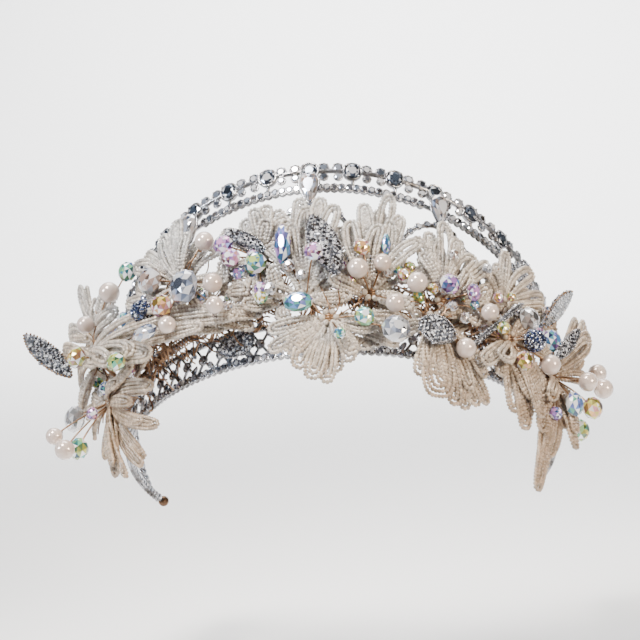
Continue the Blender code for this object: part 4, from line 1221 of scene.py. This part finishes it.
@dataclass
class DeepLoops:
    """Shorter bead loops deep in the mass, between the flowers."""

    places: tuple = ((-62, 13), (-50, 22), (-44, 12), (-36, 20), (-21, 18), (-17, 24), (-6, 14),
                     (6, 20), (13, 4), (21, 17), (31, 4), (37, 15), (49, 8), (54, 18))
    petals_each: int = 4
    strands: int = 2
    seed: int = 83

    def build(self, palette: Palette) -> None:
        """Build the loops: from each place, petals in even directions that stray a little."""
        rng = np.random.default_rng(self.seed)
        mould = Mould("deep_loops")
        for around, height in self.places:
            maker = BeadFlower("", Flower(around, height, 6.0, ()))
            for turn in (np.arange(self.petals_each) + rng.uniform(0, 1)) / self.petals_each * 2 * np.pi:
                reach = rng.uniform(9.0, 14.0)
                petal = Petal(around + reach * np.cos(turn) / MM_PER_DEGREE,
                              height + 0.75 * reach * np.sin(turn),
                              rng.uniform(5, 12), rng.uniform(4.5, 6.2), rng.uniform(0, 2),
                              rng.uniform(-1.5, 1.5))
                for k in range(self.strands):
                    line = maker.loop(petal, 0.0, (k + 0.5) * maker.strand)
                    maker.string(mould, line, WALL.axes(around)[2], rng)
        mould.cast([palette.beads])


@dataclass
class WireNest:
    """Thin brown wires that tangle behind the flowers, strewn along the garland."""

    wires: int = 420
    radius: float = 0.24
    seed: int = 71

    def build(self, palette: Palette) -> None:
        """Build the tangle: each wire is a straight run that a sine wave swings about."""
        rng = np.random.default_rng(self.seed)
        mould = Mould("wire_nest")
        share = np.linspace(0, 1, 9)
        for _ in range(self.wires):
            around = rng.uniform(-58, 58)
            length, lean = rng.uniform(5, 12), rng.normal(0, 0.6)
            height = LINES.garland_height(around) + rng.uniform(-5, 11)
            swing = rng.uniform(0.5, 2.0, 2)[:, None] * np.sin(share * rng.uniform(3, 9, 2)[:, None] + around)
            path = WALL.spot(around + share * length * np.cos(lean) / MM_PER_DEGREE,
                             height + share * length * np.sin(lean) + swing[0], rng.uniform(1.5,
                                                                                            6.5) + swing[1])
            mould.add(*tube(path, self.radius, 5, WALL.axes(around)[2] + 0.1))
        mould.cast([palette.copper])


@dataclass(frozen=True)
class Leaf:
    """A leaf covered in stones, from its base to its tip."""

    base: tuple
    tip: tuple
    width: float
    roll: float
    brown: bool = False


LEAVES = {
    "leaf_far_left": Leaf((-62, 12.5, 20), (-67, 29, 32), 7.0, 70, True),
    "leaf_base": Leaf((-14, 5, 4), (-24, 5, 4), 7.5, 0),
    "leaf_centre": Leaf((6, 16, 15.5), (1, 36, 13.5), 8.5, 0),
    "leaf_mid_left": Leaf((-9, 28, 10.5), (-18, 37, 10.5), 4.5, 0),
    "leaf_right_drop": Leaf((21, 1.4, 18.5), (28.5, -1.3, 18.5), 8.5, 0),
    "leaf_right_up": Leaf((53, 14, 14), (70, 36, 11), 6.0, 20, True),
    "leaf_right_small": Leaf((53, 2, 19), (61, 15.5, 19), 4.0, 0),
    "leaf_shoulder": Leaf((34, 0, 14), (47, 18, 14), 5.5, 80),
}


@dataclass
class LeafMaker:
    """Leaves: a domed almond body, a grained rim and rows of small stones on both faces."""

    pitch: float = 1.25
    stone_radius: float = 0.74
    seed: int = 41

    def axes_of(self, leaf: Leaf) -> tuple:
        """Centre, half length in mm and unit axes of a leaf, rolled about its own length."""
        base, tip = WALL.spot(*leaf.base), WALL.spot(*leaf.tip)
        up = (tip - base) / np.linalg.norm(tip - base)
        out = WALL.axes((leaf.base[0] + leaf.tip[0]) / 2)[2]
        out = out - up * (out @ up)
        out /= np.linalg.norm(out)
        turn = Matrix.Rotation(np.radians(leaf.roll), 3, Vector(up))
        out = np.array(turn @ Vector(out))
        return (base + tip) / 2, np.linalg.norm(tip - base) / 2 / MM, np.stack([np.cross(up, out), up, out])

    def outline(self, leaf: Leaf, along: np.ndarray) -> np.ndarray:
        """Half width at a share of the half length, from -1 at the base to 1 at the tip."""
        rise = np.sqrt(np.clip(1 - along ** 2, 0, 1))
        return leaf.width / 2 * rise * (0.55 + 0.45 * rise)

    def build(self, palette: Palette) -> None:
        """Build every leaf."""
        rng = np.random.default_rng(self.seed)
        for name, leaf in LEAVES.items():
            mould = Mould(name + "_stones")
            centre, half_length, axes = self.axes_of(leaf)
            self.body(mould, leaf, centre, half_length, axes)
            self.stones(mould, leaf, centre, half_length, axes, rng)
            mould.cast([palette.dark_metal, palette.gunmetal,
                        palette.copper if leaf.brown else palette.silver],
                       (name,))

    def body(self, mould: Mould, leaf: Leaf, centre: np.ndarray, half_length: float,
             axes: np.ndarray) -> None:
        """The metal almond: an ellipse of width and thickness carried along the leaf's length."""
        along = np.cos(np.linspace(np.pi - 0.12, 0.12, 26))
        turn = even_turns(16)
        half = self.outline(leaf, along)[:, None]
        x, z = half * np.cos(turn), (0.25 + 0.45 * half / (leaf.width / 2)) * np.sin(turn)
        local = np.stack([x, np.broadcast_to(along[:, None] * half_length, x.shape), z], -1).reshape(-1, 3)
        mould.add(centre + local @ axes * MM, capped(26, 16)[:, ::-1])

    def stones(self, mould: Mould, leaf: Leaf, centre: np.ndarray, half_length: float, axes: np.ndarray,
               rng: np.random.Generator) -> None:
        """Stones in staggered rows inside the outline, and grains along it."""
        rows = np.arange(-half_length + 1.0, half_length - 0.9, self.pitch * 0.87)
        cols = np.arange(-5, 6) * self.pitch
        y, x = np.meshgrid(rows, cols, indexing="ij")
        x = x + (np.arange(len(rows)) % 2)[:, None] * self.pitch / 2
        inside = np.abs(x) < self.outline(leaf, y / half_length) - 0.35
        x, y = x[inside], y[inside]
        for face in (1, -1):
            local = np.stack([x, y, np.full(len(x), 0.55 * face)], -1)
            turned = axes * np.array([face, 1, face])[:, None]
            sizes = np.full((len(x), 3), self.stone_radius)
            set_stones(mould, CHATON, centre + local @ axes * MM, np.repeat(turned[None], len(x), 0), sizes,
                       rng.random(len(x)), rng, 1, 0.3)
        along = np.concatenate([np.linspace(-0.97, 0.97, 22)] * 2)
        side = np.repeat([-1.0, 1.0], 22) * self.outline(leaf, along)
        rim = np.stack([side, along * half_length, 0.35 + 0 * along], -1)
        set_knobs(mould, centre + rim @ axes * MM, np.repeat(axes[None], 44, 0), np.full(44, 0.36), 2)


@dataclass
class PearDrops:
    """Three pear-shaped stones in rims under the crest."""

    step: float = 31.3
    width: float = 6.2
    length: float = 9.4
    stand_off: float = 3.4
    below_rail: float = 1.3
    seed: int = 53

    def build(self, palette: Palette) -> None:
        """Build the three drops."""
        rng = np.random.default_rng(self.seed)
        for name, k in (("pear_drop_left", -1), ("pear_drop_middle", 0), ("pear_drop_right", 1)):
            around = k * self.step
            height = LINES.rail_height(around) - self.below_rail
            centre = WALL.spot(around, height, self.stand_off)
            axes = WALL.axes(around)
            mould = Mould(name + "_cut")
            sizes = np.array([[self.width / 2, self.length / 2, 3.2]])
            set_stones(mould, PEAR, centre[None], axes[None], sizes, 0.5, rng, 0, 0.5)
            turn = even_turns(48)
            taper = 1.25 * (0.35 + 0.65 * (0.5 + 0.5 * np.cos(turn)))
            rim = np.stack([np.sin(turn) * taper * self.width / 2, np.cos(turn) * self.length / 2,
                            0 * turn - 0.5], -1)
            mould.add(*tube(centre + rim * 1.04 @ axes * MM, 0.34, 6, axes[2], loop=True), 1)
            mould.cast([palette.clear, palette.silver], (name,))


@dataclass
class Studio:
    """Pale floor with a curved backdrop, soft lights and the camera at the photograph's angle."""

    pitch: float = -27.4
    yaw: float = -5.8
    roll: float = 1.5
    distance: float = 700.0
    focal_pixels: float = 2289.0
    image_width: float = 640.0
    slide_right: float = 6.75
    slide_up: float = -42.2
    floor_height: float = -0.060

    def build_floor(self) -> None:
        """A floor that curves up into a backdrop: flat, then a quarter circle, then straight up."""
        turn = np.linspace(0, np.pi / 2, 16)
        y = np.concatenate([[-1.4, 0.0], 0.9 + 0.6 * np.sin(turn), [1.5]])
        z = np.concatenate([[0.0, 0.0], 0.6 - 0.6 * np.cos(turn), [1.3]])
        x = np.array([-1.8, 1.8])
        grid = np.broadcast_arrays(x[None], y[:, None], self.floor_height + z[:, None])
        points = np.stack(grid, -1).reshape(-1, 3)
        rows = len(y)
        a = np.arange(rows - 1) * 2
        faces = np.stack([a, a + 1, a + 3, a + 2], -1)
        mesh = bpy.data.meshes.new("pale_floor")
        mesh.from_pydata(points.tolist(), [], faces.tolist())
        floor = bpy.data.objects.new("pale_floor", mesh)
        bpy.context.scene.collection.objects.link(floor)
        material, tree, shader = new_material("pale_paper")
        tone = grained(tree, {"Broad Scale": 3.0}).outputs["Tone"]
        colour = coloured(tree, tone, ((0.3, (0.93, 0.93, 0.93)), (0.7, (0.95, 0.95, 0.95))))
        link(tree, colour, shader.inputs["Base Color"])
        put(shader, {"Roughness": 0.9})
        mesh.materials.append(material)
        mesh.shade_smooth()

    def add_light(self, name: str, place: tuple, target: tuple, size: float, power: float, colour: tuple,
                  spread: float = 26.0) -> None:
        """A square soft light that looks at a target."""
        lamp = bpy.data.lights.new(name, "AREA")
        lamp.size, lamp.energy, lamp.color, lamp.spread = size, power, colour, np.radians(spread)
        holder = bpy.data.objects.new(name, lamp)
        holder.location = place
        holder.rotation_euler = (Vector(target) - Vector(place)).to_track_quat("-Z", "Y").to_euler()
        bpy.context.scene.collection.objects.link(holder)

    def build_lights(self) -> None:
        """Key, cool and warm lamps, washes for the paper, and a dark world with a few bright directions."""
        middle = (0.0, -0.03, 0.03)
        self.add_light("key", (-0.25, -0.45, 1.0), middle, 0.3, 0.85, (1.0, 0.95, 0.89))
        self.add_light("cool", (-0.9, -0.5, 0.5), middle, 0.2, 0.35, (0.82, 0.90, 1.0))
        self.add_light("warm", (0.8, -0.6, 0.3), middle, 0.25, 0.4, (1.0, 0.84, 0.66))
        self.add_light("backdrop_wash", (0.0, 0.6, 1.3), (0.0, 1.45, 0.3), 0.8, 20.0, (1.0, 1.0, 1.0), 80.0)
        self.add_light("floor_wash", (0.0, 0.75, 1.2), (0.0, 0.6, -0.06), 1.0, 9.0, (1.0, 1.0, 1.0), 70.0)
        world = bpy.data.worlds.new("studio")
        world.use_nodes = True
        tree = world.node_tree
        place, noise = tree.nodes.new("ShaderNodeTexCoord"), tree.nodes.new("ShaderNodeTexNoise")
        noise.inputs["Scale"].default_value = 2.6
        link(tree, place.outputs["Generated"], noise.inputs["Vector"])
        stops = ((0.46, (0.02, 0.019, 0.018)), (0.57, (0.07, 0.07, 0.08)), (0.66, (0.85, 0.87, 0.95)))
        boxes = coloured(tree, noise.outputs["Fac"], stops)
        link(tree, boxes, tree.nodes["Background"].inputs["Color"])
        bpy.context.scene.world = world

    def build_camera(self) -> None:
        """Camera set by pitch, yaw and roll against the upright crown, then leaned with it."""
        p, w, r = (np.radians(v) for v in (self.pitch, self.yaw, self.roll))
        right = np.array([np.cos(w), -np.sin(w), 0.0])
        ahead = np.array([np.sin(w), np.cos(w), 0.0])
        up = np.array([0.0, 0.0, np.cos(p)]) + ahead * np.sin(p)
        away = ahead * np.cos(p) - np.array([0.0, 0.0, np.sin(p)])
        right, up = right * np.cos(r) - up * np.sin(r), right * np.sin(r) + up * np.cos(r)
        place = -self.distance * away - self.slide_right * right - self.slide_up * up
        axes = WALL.leaned(np.stack([right, up, -away, place]))
        turned = Matrix(axes[:3].T.tolist()).to_4x4()
        lens = bpy.data.cameras.new("view")
        lens.sensor_width = 36.0
        lens.lens = self.focal_pixels / self.image_width * lens.sensor_width
        lens.clip_start, lens.clip_end = 0.01, 20.0
        camera = bpy.data.objects.new("view", lens)
        camera.matrix_world = Matrix.Translation(Vector(axes[3]) * MM) @ turned
        bpy.context.scene.collection.objects.link(camera)
        bpy.context.scene.camera = camera

    def build(self) -> None:
        """Build the studio."""
        self.build_camera()
        self.build_floor()
        self.build_lights()


def main() -> None:
    """Build the studio and every sub-assembly of the crown."""
    logging.basicConfig(level=logging.INFO, format="%(name)s: %(message)s")
    Studio().build()
    palette = mix_palette()
    SilverFrame().build(palette)
    wired = [*PEARLS.values(), *CRYSTALS.values(), *SMALL_STONES, *PAVE_BALLS.values()]
    for number, (name, plan) in enumerate(FLOWERS.items()):
        BeadFlower(name, plan, seed=100 + number).build(palette, wired)
    BeadSet().build(palette)
    DeepLoops().build(palette)
    WireNest().build(palette)
    LeafMaker().build(palette)
    PearDrops().build(palette)


if __name__ == "__main__":
    main()
